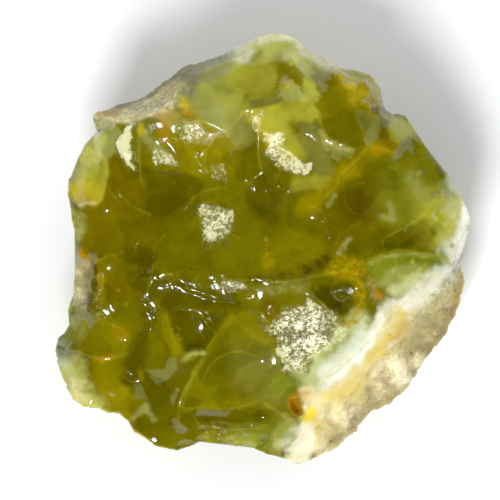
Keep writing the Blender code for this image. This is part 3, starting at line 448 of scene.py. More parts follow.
        ("grey lime", 0.7, 1.0, 2.2, ((-31.4, 5.6), (-31.0, 3.4))),
        ("grey tan", 0.9, 0.9, 1.7, ((-30.4, -2.8), (-30.4, -8.6))),
        ("cream", 0.6, 0.2, 0.8, ((-30.9, -3.7), (-30.2, -3.8))),
        ("cream", 0.6, 0.4, 1.0, ((-31.2, -6.8), (-30.8, -7.8))),
        ("rust", 0.95, 0.25, 0.7, ((-28.0, -2.8), (-27.8, -4.4), (-28.2, -5.8))),
        ("rust", 0.5, 0.5, 1.3, ((-28.2, -3.0), (-28.2, -6.0))),
        ("rust", 0.9, 0.2, 0.6, ((-28.9, -7.6), (-29.0, -9.0))),
        ("black", 0.6, 0.08, 0.35, ((-30.4, -9.2), (-29.4, -8.9))),
        ("yellow", 0.7, 0.4, 1.4, ((-27.2, -4.8), (-26.8, -8.6))),
        ("grey lime", 0.4, 1.0, 2.4, ((-31.4, -10.4), (-31.2, -13.6), (-32.4, -15.2))),
        ("black", 0.6, 0.1, 0.4, ((-32.0, -10.8), (-31.0, -10.6))),
        # Painted shade, lit blue by the sky, on the lower left lobe's edge.
        ("blue grey", 0.9, 0.8, 1.8, ((-34.2, -15.4), (-33.6, -19.6))),
        ("black", 0.7, 0.1, 0.4, ((-34.2, -16.2), (-32.6, -16.8), (-30.8, -17.6), (-28.4, -18.3))),
        ("orange", 0.6, 0.2, 0.8, ((-28.2, -18.2), (-26.0, -18.2), (-25.2, -17.9))),
        ("orange", 0.4, 0.4, 1.4, ((-24.4, -13.4), (-23.4, -14.2))),
    ),
    "lower left": (
        ("milky lime", 0.7, 0.8, 3.6, ((-32.2, -20.2), (-31.4, -23.6), (-29.0, -26.0))),
        ("cream", 0.6, 0.4, 2.0, ((-31.4, -22.6), (-30.2, -25.0))),
        ("yellow", 0.4, 0.8, 3.0, ((-27.0, -22.0), (-24.0, -25.0))),
        ("rust", 0.9, 0.1, 0.5, ((-28.0, -2.6), (-27.8, -4.4), (-28.3, -6.4))),
        ("rust", 0.7, 0.1, 0.6, ((-28.8, -7.4), (-29.0, -9.0))),
        # Painted shade down the gully at the lower left.
        ("brown", 0.7, 0.2, 1.6, ((-19.2, -11.0), (-20.6, -15.5), (-22.4, -21.0))),
        ("deep olive", 0.95, 0.3, 1.1, ((-18.4, -11.6), (-19.4, -14.6), (-20.6, -18.0),
                                        (-22.2, -22.0))),
        ("rust", 0.5, 0.2, 1.0, ((-22.9, -21.8), (-21.7, -22.0))),
        ("yellow", 0.6, 0.2, 0.7, ((-20.4, -20.6), (-20.2, -21.6))),
        ("grey lime", 0.7, 0.3, 0.8, ((-19.6, -26.0), (-21.8, -28.2)),
         ((-19.6, -26.0), (-18.2, -28.2))),
        ("grey lime", 0.6, 0.2, 0.7, ((-14.4, -23.2), (-15.0, -25.2))),
        ("milky lime", 0.65, 0.25, 0.7, ((-13.2, -17.9), (-12.0, -17.3), (-10.0, -17.1))),
        # Painted shadow that the bowl's lip casts into the bowl.
        ("deep olive", 1.0, 0.8, 1.8, ((-13.6, -15.6), (-10.4, -15.6))),
        # Painted highlight along the big scar's left ridge.
        ("edge", 0.5, 0.1, 0.6, ((-9.2, -17.2), (-11.0, -19.6), (-12.4, -22.2), (-13.8, -25.8))),
        ("yellow", 0.6, 0.15, 0.5, ((-11.6, -18.2), (-13.0, -18.3))),
        ("yellow olive", 0.7, 0.5, 1.6, ((-16.4, -11.4), (-15.4, -14.2), (-14.2, -17.2))),
        ("yellow olive", 0.7, 0.3, 1.2, ((-4.8, -11.2), (-7.2, -13.6), (-9.0, -16.6))),
        ("yellow olive", 0.6, 0.3, 1.4, ((-13.0, -26.4), (-8.0, -25.8), (-2.0, -25.0))),
        # Painted shade in the valley above the lower rim.
        ("deep olive", 0.8, 0.8, 1.8, ((-10.6, -27.6), (-5.0, -27.9), (-1.0, -27.4))),
        ("deep olive", 0.7, 0.8, 2.0, ((-15.4, -22.4), (-17.4, -25.4))),
        ("yellow olive", 0.5, 0.2, 0.8, ((-18.6, -9.6), (-14.0, -4.4), (-16.6, -4.0))),
        # Painted shade under the brow.
        ("deep olive", 0.8, 0.7, 2.0, ((-18.0, -6.6), (-12.0, -8.0), (-5.0, -8.4))),
        ("lime", 0.35, 0.3, 1.4, ((-9.6, -31.4), (-5.6, -31.6), (-1.4, -31.4))),
    ),
}

# Stains of the rind as (colour, size, noise shift, where the noise starts to stain, strength).
RIND_STAINS = (
    ("tan", 7.0, 91, 0.05, 0.45), ("cream", 3.2, 92, 0.10, 0.60), ("grey", 6.0, 93, 0.18, 0.30),
    ("orange", 4.5, 94, 0.25, 0.30), ("shade", 2.0, 95, 0.12, 0.35),
)

# How far the noise rises from a stain's start to its full strength, on the rind and on the
# sides, and how strongly shade is painted into the creases between the grains.
RIND_STAIN_EDGE = 0.3
SIDE_STAIN_EDGE = 0.25
CREASE_SHADE = 0.5

# Stains of the green sides, in the same form, and the strength of the milky skirt.
SIDE_STAINS = (
    ("deep olive", 9.0, 96, -0.1, 0.8), ("green olive", 6.0, 97, 0.05, 0.6),
    ("grey lime", 4.0, 98, 0.2, 0.45), ("yellow", 5.0, 99, 0.22, 0.4),
)
SKIRT_STRENGTH = 0.55

# Noise pushes a stroke's line about, as (grain size, reach), fully from this end width on. The
# fine push has a part that every stroke takes and a part that grows with its width.
LOOSE_WIDTH = 2.4
WIDE_PUSH = (2.9, 1.3)
FINE_PUSH = (0.8, 0.15, 0.35)

# The share of its inner width over which a stroke stays even. Gaps open in it, as a level and
# as noise of (grain size, strength, shift), up to MOST_GAPS and less so where it ends wider
# than the gaps.
STROKE_CORE = 0.7
GAP_LEVEL = 0.3
GAP_NOISE = ((1.6, 0.6, 61), (0.6, 0.4, 71))
MOST_GAPS = 0.7
GAP_WIDTH = 0.9

# Groups that lie broken into grains, stains and painted shade among them, with the share of
# their strength between the grains and on them.
DUST_AND_SHADE_GROUPS = {
    "rind": (0.45, 1.3), "stains": (0.3, 1.5), "upper left wall": (0.4, 1.4),
    "left edge": (0.6, 1.3),
}

# Facets of the break as (colour, strength, depth of the pan, corners of its rim). Each is
# painted over with its own tone, and one with a depth is pressed in as a shallow pan.
FACETS = {
    "left lobe": ("lime", 0.45, 0.0, (
        (-27.7, 19.5), (-26.8, 17.0), (-25.8, 15.0), (-25.6, 13.5), (-26.0, 11.0), (-26.7, 8.0),
        (-28.5, 7.7), (-31.3, 7.4), (-32.8, 10.0), (-32.6, 12.0), (-31.0, 14.5), (-30.0, 16.5),
        (-29.0, 18.0))),
    "right of the left lobe": ("brown olive", 0.7, 0.15, (
        (-25.5, 15.5), (-24.6, 15.6), (-22.5, 13.5), (-20.6, 12.2), (-20.3, 9.0), (-21.0, 6.0),
        (-24.6, 5.2), (-26.6, 8.0), (-25.8, 11.0), (-25.4, 13.5))),
    "left of the bright strip": ("grey lime", 0.85, 0.12, (
        (-27.4, 21.0), (-24.5, 20.6), (-23.5, 19.8), (-24.3, 18.2), (-24.8, 16.2), (-26.2, 15.8),
        (-27.2, 17.6))),
    "web top": ("yellow olive", 0.8, 0.2, (
        (-15.2, 18.7), (-15.0, 20.6), (-13.2, 21.1), (-12.2, 20.2), (-12.0, 18.4), (-12.8, 16.9),
        (-13.6, 17.8))),
    "web top, grey corner": ("grey lime", 0.6, 0.0, (
        (-13.6, 20.0), (-12.9, 20.8), (-11.9, 20.2), (-11.7, 18.9))),
    "web": ("yellow olive", 0.9, 0.2, (
        (-17.3, 18.4), (-15.4, 18.6), (-13.9, 17.8), (-12.3, 15.9), (-10.6, 13.5), (-9.6, 12.8),
        (-9.3, 11.4), (-13.5, 13.7), (-15.0, 14.5), (-16.5, 16.5))),
    "grey lime slope": ("grey lime", 0.8, 0.15, (
        (-10.8, 24.0), (-8.6, 24.6), (-6.9, 23.0), (-6.0, 20.6), (-5.2, 19.4), (-4.9, 18.6),
        (-6.6, 18.8), (-9.3, 20.9), (-11.0, 22.2))),
    "small grey lime": ("grey lime", 0.7, 0.1, (
        (-12.6, 26.2), (-10.4, 26.0), (-9.7, 25.0), (-10.8, 24.1), (-12.0, 24.0))),
    "round scar": ("yellow olive", 0.8, 0.25, (
        (-9.6, 14.0), (-9.3, 16.6), (-7.8, 18.2), (-5.5, 18.6), (-4.9, 17.0), (-5.0, 14.0),
        (-5.8, 12.4), (-7.3, 12.6))),
    "deep left": ("deep olive", 0.75, 0.2, (
        (-20.0, 13.5), (-17.5, 13.0), (-14.0, 13.0), (-11.0, 12.0), (-9.5, 11.0), (-10.6, 9.2),
        (-13.0, 7.5), (-16.0, 5.3), (-18.7, 5.5), (-19.6, 9.5))),
    "under the diagonal": ("olive", 0.7, 0.12, (
        (-16.0, 5.2), (-13.0, 7.4), (-10.4, 9.2), (-8.0, 10.0), (-5.0, 9.8), (-3.5, 9.0),
        (-2.5, 6.0), (-3.0, 3.0), (-6.0, 0.0), (-10.0, 0.0), (-14.0, 1.0), (-17.0, 3.2))),
    "left dark": ("deep olive", 0.8, 0.18, (
        (-24.8, -0.5), (-22.0, 0.2), (-21.0, 0.8), (-19.0, 0.4), (-18.3, -0.6), (-18.3, -3.2),
        (-20.5, -3.2), (-23.0, -2.2))),
    "left darker": ("deep olive", 1.0, 0.2, (
        (-22.4, -3.6), (-18.4, -3.4), (-18.6, -5.4), (-19.6, -7.4), (-22.4, -6.0))),
    "right of the west ridge": ("olive", 0.8, 0.15, (
        (-17.8, -0.2), (-17.0, 1.4), (-12.0, -0.5), (-9.5, -2.4), (-12.0, -3.4), (-16.4, -3.8),
        (-18.0, -3.4))),
    # Painted shade under the brow.
    "under the brow": ("deep olive", 0.75, 0.2, (
        (-18.4, -5.2), (-15.0, -4.8), (-11.0, -6.5), (-7.8, -7.9), (-4.0, -8.6), (-2.6, -8.5),
        (-5.0, -9.6), (-10.0, -9.9), (-14.0, -9.7), (-17.5, -8.9), (-19.6, -8.3))),
    # Painted shadow that the lip casts into the bowl.
    "bowl": ("deep olive", 0.8, 0.25, (
        (-16.2, -10.3), (-10.0, -10.4), (-5.1, -10.2), (-7.7, -13.8), (-9.6, -17.0),
        (-13.4, -17.4), (-14.8, -15.3), (-15.7, -11.8))),
    # Painted shadow in the bowl's floor.
    "bowl floor": ("brown", 0.45, 0.15, (
        (-15.0, -14.6), (-9.0, -14.8), (-9.8, -16.9), (-13.2, -17.1), (-14.4, -16.0))),
    "left of the bowl": ("yellow olive", 0.7, 0.1, (
        (-16.6, -10.8), (-15.9, -11.0), (-14.9, -13.6), (-13.6, -17.4), (-14.8, -17.6),
        (-17.0, -14.0))),
    "beside the gully": ("olive", 0.7, 0.15, (
        (-19.6, -13.0), (-17.2, -12.0), (-16.0, -17.0), (-17.0, -19.6), (-19.4, -19.6),
        (-20.6, -17.0))),
    "left yellow": ("yellow olive", 0.7, 0.06, (
        (-29.6, -11.2), (-27.4, -10.8), (-25.2, -12.6), (-24.0, -13.4), (-22.2, -15.0),
        (-22.8, -16.8), (-25.2, -17.8), (-27.8, -18.2), (-30.6, -16.6), (-31.4, -14.4),
        (-30.4, -12.0))),
    "left middle": ("brown olive", 0.7, 0.12, (
        (-27.0, -3.8), (-25.6, -3.9), (-24.4, -5.2), (-22.0, -6.2), (-22.0, -8.6), (-25.6, -8.6),
        (-27.2, -7.4))),
    # Painted reflection of the sky on the two smooth mirror facets at the lower left.
    "mirror": ("sky reflection olive", 0.6, 0.0, MIRROR_FACETS["lower left"]),
    "mirror corner": ("sky reflection olive", 0.6, 0.0, (
        (-21.5, -21.9), (-20.3, -22.3), (-19.2, -25.0), (-21.4, -25.0))),
    "big scar": ("olive", 0.8, 0.2, (
        (-5.0, -11.2), (-2.4, -14.0), (0.2, -16.0), (1.6, -18.6), (1.8, -21.0), (-2.0, -25.0),
        (-8.0, -25.6), (-13.6, -26.2), (-12.6, -23.4), (-10.8, -20.2), (-9.4, -17.2),
        (-7.6, -13.8))),
    "big scar's grey middle": ("grey olive", 0.6, 0.0, (
        (-4.6, -16.6), (0.2, -16.8), (1.4, -19.0), (1.6, -21.4), (-1.6, -23.6), (-5.2, -22.0))),
    "between the scars": ("yellow olive", 0.6, 0.12, (
        (-5.0, -11.2), (-2.4, -9.9), (0.0, -12.6), (1.4, -15.4), (0.2, -16.0), (-2.4, -14.0))),
    # Painted shade in the valley that the lower rim's ridge shadows.
    "bottom band": ("deep olive", 0.6, 0.0, (
        (-14.0, -26.9), (-10.0, -26.7), (-4.0, -26.9), (-1.0, -26.0), (1.0, -27.6), (-1.0, -28.9),
        (-6.0, -28.8), (-11.0, -28.4), (-13.8, -28.6))),
    # Painted shade in the hollow behind the big scar's ridge.
    "dark scar": ("deep olive", 0.9, 0.3, (
        (7.7, -6.6), (10.0, -6.2), (13.8, -5.4), (14.9, -5.8), (15.0, -9.6), (13.0, -11.2),
        (11.5, -10.4), (9.5, -8.6))),
    "diamond": ("brown olive", 0.9, 0.15, (
        (-1.0, -9.7), (0.5, -8.5), (2.3, -8.6), (3.3, -10.5), (1.9, -12.6), (0.0, -11.0))),
    "centre right": ("yellow olive", 0.7, 0.15, (
        (1.8, 2.0), (6.0, 3.4), (9.5, 2.0), (10.6, -1.0), (7.0, -2.6), (3.4, -3.0),
        (1.8, -1.6))),
    "below the top mass": ("deep olive", 0.45, 0.1, (
        (-1.2, 12.0), (1.8, 11.4), (3.6, 9.8), (1.0, 6.0), (-0.6, 5.0), (-2.8, 9.2))),
    "right below the top mass": ("olive", 0.7, 0.15, (
        (3.8, 10.0), (6.6, 9.6), (7.4, 6.2), (5.4, 5.4), (2.2, 6.6))),
    "brown hollow": ("brown", 0.3, 0.06, (
        (12.4, 9.8), (15.4, 10.8), (18.6, 9.6), (19.6, 6.8), (17.8, 4.6), (14.6, 4.6),
        (12.6, 6.8))),
    "below the brown hollow": ("deep olive", 0.6, 0.15, (
        (16.5, -1.2), (17.2, 2.8), (16.6, 4.6), (14.0, 3.2), (13.4, -0.8))),
    "right dark": ("deep olive", 0.7, 0.2, (
        (17.5, 0.0), (19.0, 2.4), (22.5, 3.6), (24.5, 4.4), (28.0, 3.4), (27.0, 1.0),
        (22.0, -0.4))),
    "clear top": ("yellow olive", 0.9, 0.2, (
        (2.3, 30.8), (4.9, 31.0), (5.4, 29.4), (6.6, 28.0), (6.8, 26.4), (6.3, 25.6), (5.6, 27.0),
        (4.4, 28.4), (3.6, 27.8), (2.8, 26.2), (1.0, 26.0), (2.4, 28.4))),
    "clear right of the top": ("yellow olive", 0.9, 0.2, (
        (8.2, 29.3), (9.6, 28.6), (12.0, 28.6), (13.2, 27.6), (14.6, 24.0), (14.8, 22.8),
        (12.6, 22.4), (9.2, 22.0), (8.4, 23.4), (9.6, 25.6), (9.0, 27.4))),
    "clear upper right": ("olive", 0.9, 0.2, (
        (9.4, 21.4), (12.6, 22.4), (14.8, 22.8), (15.6, 20.6), (16.2, 19.6), (16.6, 17.2),
        (14.8, 16.4), (12.6, 17.4), (10.6, 18.8), (11.0, 20.4))),
    "pale top right": ("lime", 0.6, 0.1, (
        (5.3, 31.4), (7.6, 31.0), (8.6, 28.0), (9.4, 25.4), (8.6, 23.8), (6.8, 24.4),
        (6.4, 25.6), (6.8, 27.4), (6.2, 29.4))),
    "pale below the crack": ("grey lime", 0.8, 0.1, (
        (3.6, 26.2), (4.4, 27.2), (5.8, 26.8), (6.4, 25.2), (6.0, 24.2), (3.4, 24.2))),
    # Painted shade and painted sky reflection on the step face below the top crest.
    "step": ("grey olive", 0.9, 0.0, (
        (-2.4, 24.6), (0.4, 24.6), (2.8, 25.0), (3.1, 24.1), (0.4, 23.4), (-2.3, 23.2))),
    "right mass": ("grey olive", 0.9, 0.12, (
        (5.8, 20.2), (9.4, 19.4), (10.0, 17.2), (11.2, 14.6), (10.8, 12.4), (8.2, 12.4),
        (8.0, 14.8), (6.8, 17.0), (5.6, 18.4))),
    "pale web": ("grey lime", 0.5, 0.1, (
        (9.3, 19.6), (10.4, 18.2), (12.6, 17.5), (15.0, 16.3), (14.4, 15.3), (12.6, 14.4),
        (11.4, 15.2), (10.2, 17.0))),
    # Painted reflection of the sky on the smooth triangle facet.
    "triangle": ("grey olive", 0.95, 0.12, MIRROR_FACETS["triangle"]),
    "under the yellow diagonal": ("olive", 0.7, 0.15, (
        (12.6, 12.2), (14.4, 13.0), (16.0, 14.8), (18.6, 16.0), (20.6, 15.6), (20.4, 13.0),
        (16.6, 11.0), (14.2, 9.4), (12.0, 10.0))),
    "right shoulder": ("green olive", 0.25, 0.15, (
        (20.4, 15.0), (24.6, 15.2), (27.6, 14.6), (28.0, 12.0), (24.8, 11.6), (22.0, 12.0),
        (20.4, 13.0))),
    "right lime": ("lime", 0.6, 0.12, (
        (24.8, 12.0), (26.4, 10.8), (27.8, 9.0), (29.2, 7.6), (27.0, 5.2), (25.0, 6.2),
        (24.0, 9.4))),
}

# How soft the edge of a facet's tone is, how far fine noise pushes it, and the softer ones.
FACET_EDGE = 0.14
FACET_WARP = 0.12
SOFT_FACETS = {
    "big scar's grey middle": 1.8, "bowl floor": 1.2, "bottom band": 1.0, "brown hollow": 1.6,
    "left lobe": 0.5, "under the diagonal": 0.4, "right shoulder": 2.4, "right lime": 1.8,
    "right dark": 0.8, "left middle": 0.7, "left yellow": 0.5, "centre right": 0.8,
    "below the brown hollow": 1.0, "below the top mass": 0.9, "between the scars": 0.3,
}

# Patches of sky that the wet face shows, with ragged outlines, and the noise that makes an
# outline ragged, as (grain size, reach).
RAGGED_FACETS = ("pale web", "pale top right", "pale below the crack", "clear top",
                 "clear right of the top", "right mass", "grey lime slope", "small grey lime",
                 "web top, grey corner", "left of the bright strip")
RAGGED_PUSHES = ((2.0, 1.1), (0.7, 0.5))

# How far inwards a pan falls to most of its depth, and how far round its ring it is looked for.
PAN_REACH = 0.9
PAN_MARGIN = 1.0


def dots(*places):
    """Lines of one point each."""
    return tuple((place,) for place in places)


# Small forms raised out of the face as (height, half width, their lines in the plan): domes
# that each catch the sun, and hackle lines that run along old cracks.
RAISED = {
    "sun dots": (0.30, 1.0, dots(
        (-13.3, 18.7), (-11.0, 16.2), (-7.3, 16.2), (-6.8, 14.3), (-18.2, 25.7), (-17.0, 25.0),
        (0.5, 2.05), (0.4, -0.5), (1.7, -10.1), (13.0, -7.8), (12.3, -9.8), (14.2, -9.4),
        (-24.3, -9.2), (-24.0, -6.4), (-33.4, -15.2), (-32.2, -16.4), (-25.0, -23.7),
        (2.6, 14.9))),
    "steep sun dots": (0.45, 0.75, dots(
        (14.0, 27.0), (14.8, 26.8), (16.2, 24.2), (17.1, 23.8), (18.7, 24.7), (19.2, 23.5),
        (12.6, 28.6), (-17.6, 25.2), (25.6, 12.6))),
    "small sun dots": (0.20, 0.7, dots(
        (2.0, 11.2), (3.4, 10.2), (1.2, 9.8), (-27.0, -6.5), (-27.5, -7.2), (-28.3, -8.7),
        (-27.2, -9.4), (-27.2, -10.7), (-28.5, -11.0), (-9.7, -28.8), (-9.5, -30.8),
        (-7.3, -31.1), (-5.3, -31.0), (-4.5, -32.2), (-1.8, -28.9), (-0.7, -32.0), (-2.9, -30.4),
        (-6.4, -29.9), (9.7, 6.5), (10.2, 5.0), (10.6, 3.4), (11.0, 2.0), (11.2, 0.2),
        (11.4, -1.8))),
    "rind lumps": (0.55, 2.3, (
        ((22.8, -20.6), (23.8, -21.2)), ((25.9, -18.6),), ((13.0, -27.4),), ((20.2, -22.8),),
        ((16.4, -25.0),), ((28.6, -14.6),), ((30.6, -11.4),), ((14.6, -29.6),),
        ((11.4, -29.4),))),
    "hackles": (0.14, 0.5, (
        ((-25.8, 10.3), (-24.6, 8.6)), ((-23.9, 9.5), (-22.0, 7.3), (-18.8, 5.7)),
        ((-12.8, -6.4), (-10.4, -7.2), (-7.8, -8.0)), ((-9.3, -10.3), (-8.6, -12.0), (-8.0, -13.8)),
        ((-10.2, -10.8), (-9.6, -12.0), (-9.0, -13.0)), ((12.2, -11.5), (13.0, -12.5)),
        ((-15.0, 18.4), (-13.2, 17.9), (-12.2, 16.0), (-10.6, 14.2), (-9.0, 12.8)),
        ((-9.7, 14.2), (-9.4, 16.3), (-8.3, 17.7)), ((-5.0, 2.4), (-4.0, 1.8)),
        ((-6.0, -6.9), (-4.4, -7.0), (-2.3, -7.5)), ((1.5, -5.4), (4.0, -5.4)),
        ((12.0, -7.6), (14.0, -7.8)))),
}

# How far round its middle a raised form is looked for, and how near to a form of one point the
# skin is cut finer, and down to which edge.
RAISED_REACH = 6.0
DOT_REACH = 1.1
DOT_EDGE = 0.22

# Places whose gloss breaks up into fine glints, as (half width, line).
BROKEN_PLACES = (
    (2.0, ((-17.4, -5.0), (-13.0, -5.8), (-9.0, -7.6))),
    (1.8, ((-19.6, -9.5), (-19.0, -12.5))),
    (1.6, ((-9.0, -5.0), (-7.6, -5.2))),
    (1.6, ((-19.0, 18.0), (-17.0, 15.2))),
)

# Rounded grains of the rind as (width, how far the creases between them go in), how fast a
# grain rises out of its crease, and where the grains' noise is read.
RIND_GRAINS = ((2.0, 0.24), (0.9, 0.12))
GRAIN_RISE = 2.6
GRAIN_SHIFT = 81

# Tints of the opal and of the rind by their noise, as ramp stops.
PLAIN_WHITE = (1.0, 1.0, 1.0)
CLOUD_TINTS = ((0.30, (0.74, 0.72, 0.62)), (0.5, PLAIN_WHITE), (0.72, (1.20, 1.22, 1.45)))
FLAW_TINTS = ((0.25, (0.86, 0.86, 0.8)), (0.5, PLAIN_WHITE), (0.75, (1.12, 1.12, 1.2)))
SMALL_FLAW_TINTS = ((0.25, (0.93, 0.93, 0.9)), (0.5, PLAIN_WHITE), (0.75, (1.06, 1.06, 1.1)))
CRUST_TINTS = ((0.30, (0.62, 0.58, 0.5)), (0.45, PLAIN_WHITE), (0.7, (1.2, 1.2, 1.2)))

# Levels by a mask or noise, as ramp stops: where the grains of stains and painted shade lie, how
# strongly dark clear opal shows its flaws, the cracks between flaws by distance, where glitter
# breaks into specks, how dull the ground between specks is, and where a glittering facet is
# dull at all.
DUST_AND_SHADE_LEVELS = ((0.44, 0.0), (0.56, 1.0))
CLEAR_LEVELS = ((0.16, 1.0), (0.45, 0.0))
CRACK_LEVELS = ((0.0, 0.14), (0.012, 0.07), (0.03, 0.0))
SPECK_LEVELS = ((0.815, 0.0), (0.85, 1.0))
DULL_LEVELS = ((0.0, 0.34), (1.0, 0.05))
GLITTER_LEVELS = ((0.3, 0.0), (0.95, 1.0))

# Noise of the finish, as (grain size, detail, roughness).
CRUST_GRAINS = (0.9, 5.0, 0.75)
DUST_AND_SHADE_GRAINS = (0.9, 6.0, 0.8)
CLOUDS = (4.0, 5.0, 0.6)
SPECKS = (0.65, 7.0, 0.9)
PATCHES = (3.2, 2.0, 0.5)
GLINTS = (0.42, 3.0, 0.6)
RIPPLES = (2.2, 3.0, 0.5)

# The sizes of flaws and small flaws, and the noise that bends them, as (grain size, reach).
FLAW_SIZE = 8.0
FLAW_BEND = (4.0, 5.0)
SMALL_FLAW_SIZE = 2.4
SMALL_FLAW_BEND = (1.6, 1.8)

# How much a full glitter and broad patches add to the noise that specks come from, and the
# scale that brings their sum back to a ramp's range.
GLITTER_DENSITY = 0.37
PATCH_DENSITY = 0.25
DENSITY_SCALE = 1 / 1.2

# How strongly clouds, painted glints on specks, painted highlights on ridges and crust tints show.
CLOUD_STRENGTH = 0.55
PAINTED_GLINT_STRENGTH = 0.7
RIDGE_HIGHLIGHT_STRENGTH = 0.3
CRUST_STRENGTH = 0.8

# Roughness of the wet opal and of the rind.
WET_ROUGHNESS = 0.08
RIND_ROUGHNESS = 0.75

# Bump as (strength, height in millimetres), multiplied by its mask where it has one.
RIPPLE_BUMP = (0.15, 0.12)
GLINT_BUMP = (0.5, 0.06)
BROKEN_BUMP = (0.9, 0.35)
CRUST_BUMP = (0.7, 0.2)

# Lamps as (name, bearing, angle from straight up, distance and size in metres, watts, whether
# it lights matt skin, whether it shows in gloss): a soft key from the lower left with a small
# glint lamp in it, and a broad fill.
LAMPS = (
    ("key", KEY_BEARING, KEY_ANGLE, 1.2, 0.4, 11.5, True, False),
    ("glint", KEY_BEARING, KEY_ANGLE, 1.2, 0.03, 3.0, False, True),
    ("fill", (0.5, 0.85), 52.0, 1.3, 0.9, 4.0, True, False),
)

# The point that the lamps look at, and the pale sky.
STONE_MIDDLE = (0.0, 0.0, 0.02)
SKY_COLOUR = (0.92, 0.96, 1.0, 1.0)
SKY_STRENGTH = 0.55

# The floor's half width in metres, and its grey.
FLOOR_REACH = 3.0
FLOOR_COLOUR = (0.9, 0.9, 0.9, 1.0)


def unit(vectors):
    """Vectors scaled to length one."""
    return vectors / np.maximum(np.linalg.norm(vectors, axis=-1, keepdims=True), 1e-12)


def smooth_step(values, low, high):
    """0 below low, 1 above high and a smooth rise between."""
    share = np.clip((values - low) / (high - low), 0.0, 1.0)
    return share * share * (3.0 - 2.0 * share)


def noise_at(places, size, shift=0.0):
    """Noise of a given grain size at every place, from -1 to 1."""
    return np.array([noise.noise(Vector(place)) for place in places / size + shift])


def read_solid(name):
    """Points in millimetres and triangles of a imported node, with split points welded."""
    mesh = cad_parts[name].data
    points = np.empty(len(mesh.vertices) * 3)
    mesh.vertices.foreach_get("co", points)
    points = points.reshape(-1, 3) / MM
    mesh.calc_loop_triangles()
    triangles = np.empty(len(mesh.loop_triangles) * 3, int)
    mesh.loop_triangles.foreach_get("vertices", triangles)
    _, first, numbers = np.unique(np.round(points, 3), axis=0, return_index=True,
                                  return_inverse=True)
    return points[first], numbers.reshape(-1)[triangles].reshape(-1, 3)


def find_edges(triangles, count):
    """All edges as point pairs, each triangle's three edges, and each edge's two triangles."""
    pairs = np.sort(triangles[:, [[0, 1], [1, 2], [2, 0]]].reshape(-1, 2), axis=1)
    keys, numbers = np.unique(pairs[:, 0] * count + pairs[:, 1], return_inverse=True)
    beside = np.argsort(numbers.reshape(-1), kind="stable").reshape(-1, 2) // 3
    edges = np.column_stack((keys // count, keys % count))
    return edges, numbers.reshape(-1, 3), beside


def triangle_normals(points, triangles):
    """Direction that each triangle faces, as long as twice its area."""
    a, b, c = points[triangles].transpose(1, 0, 2)
    return np.cross(b - a, c - a)


def point_normals(points, triangles):
    """Direction that the skin faces at every point."""
    across = triangle_normals(points, triangles)
    result = np.zeros(points.shape)
    for corner in range(3):
        np.add.at(result, triangles[:, corner], across)
    return unit(result)


def spread(values, edges, rounds):
    """Values evened out over the skin, by averaging each point with its neighbours."""
    count = len(values)
    degree = np.bincount(edges.reshape(-1), minlength=count).astype(float)
    for _ in range(rounds):
        total = np.zeros(values.shape)
        np.add.at(total, edges[:, 0], values[edges[:, 1]])
        np.add.at(total, edges[:, 1], values[edges[:, 0]])
        share = degree if values.ndim == 1 else degree[:, None]
        values = 0.5 * values + 0.5 * total / share
    return values


def sharp_folds(points, triangles, fold_limits):
    """Edges, as point pairs, whose fold is over the limit of their two ends."""
    edges, _, beside = find_edges(triangles, len(points))
    facing = unit(triangle_normals(points, triangles))
    folds = np.degrees(np.arccos(np.clip(
        (facing[beside[:, 0]] * facing[beside[:, 1]]).sum(axis=1), -1.0, 1.0)))
    limits = fold_limits[edges].max(axis=1)
    return edges[folds > limits]


def refine(points, triangles, folds):
    """One step of Loop subdivision that keeps the folded edges sharp."""
    count = len(points)
    edges, sides, beside = find_edges(triangles, count)
    folded = np.isin(edges[:, 0] * count + edges[:, 1],
                     folds.min(axis=1) * count + folds.max(axis=1))
    ends = points[edges[:, 0]] + points[edges[:, 1]]
    opposite = np.zeros(ends.shape)
    for side in range(2):
        corners = triangles[beside[:, side]]
        opposite += points[corners].sum(axis=1) - ends
    middles = np.where(folded[:, None], ends / 2, ends * 3 / 8 + opposite / 8)
    around = np.zeros(points.shape)
    along = np.zeros(points.shape)
    for here, there in ((0, 1), (1, 0)):
        np.add.at(around, edges[:, here], points[edges[:, there]])
        np.add.at(along, edges[folded, here], points[edges[folded, there]])
    degree = np.bincount(edges.reshape(-1), minlength=count)
    fold_count = np.bincount(edges[folded].reshape(-1), minlength=count)
    pull = np.where(degree == 3, 3 / 16, 3 / (8 * degree))[:, None]
    even = (1 - degree[:, None] * pull) * points + pull * around
    kept = np.where((fold_count == 2)[:, None], points * 3 / 4 + along / 8, points)
    moved = np.where((fold_count >= 2)[:, None], kept, even)
    a, b, c = triangles.T
    ab, bc, ca = (sides + count).T
    finer = np.concatenate([np.column_stack(part) for part in (
        (a, ab, ca), (ab, b, bc), (ca, bc, c), (ab, bc, ca))])
    middle_numbers = np.nonzero(folded)[0] + count
    finer_folds = np.concatenate([np.column_stack((edges[folded, end], middle_numbers))
                                  for end in range(2)])
    return np.concatenate((moved, middles)), finer, finer_folds


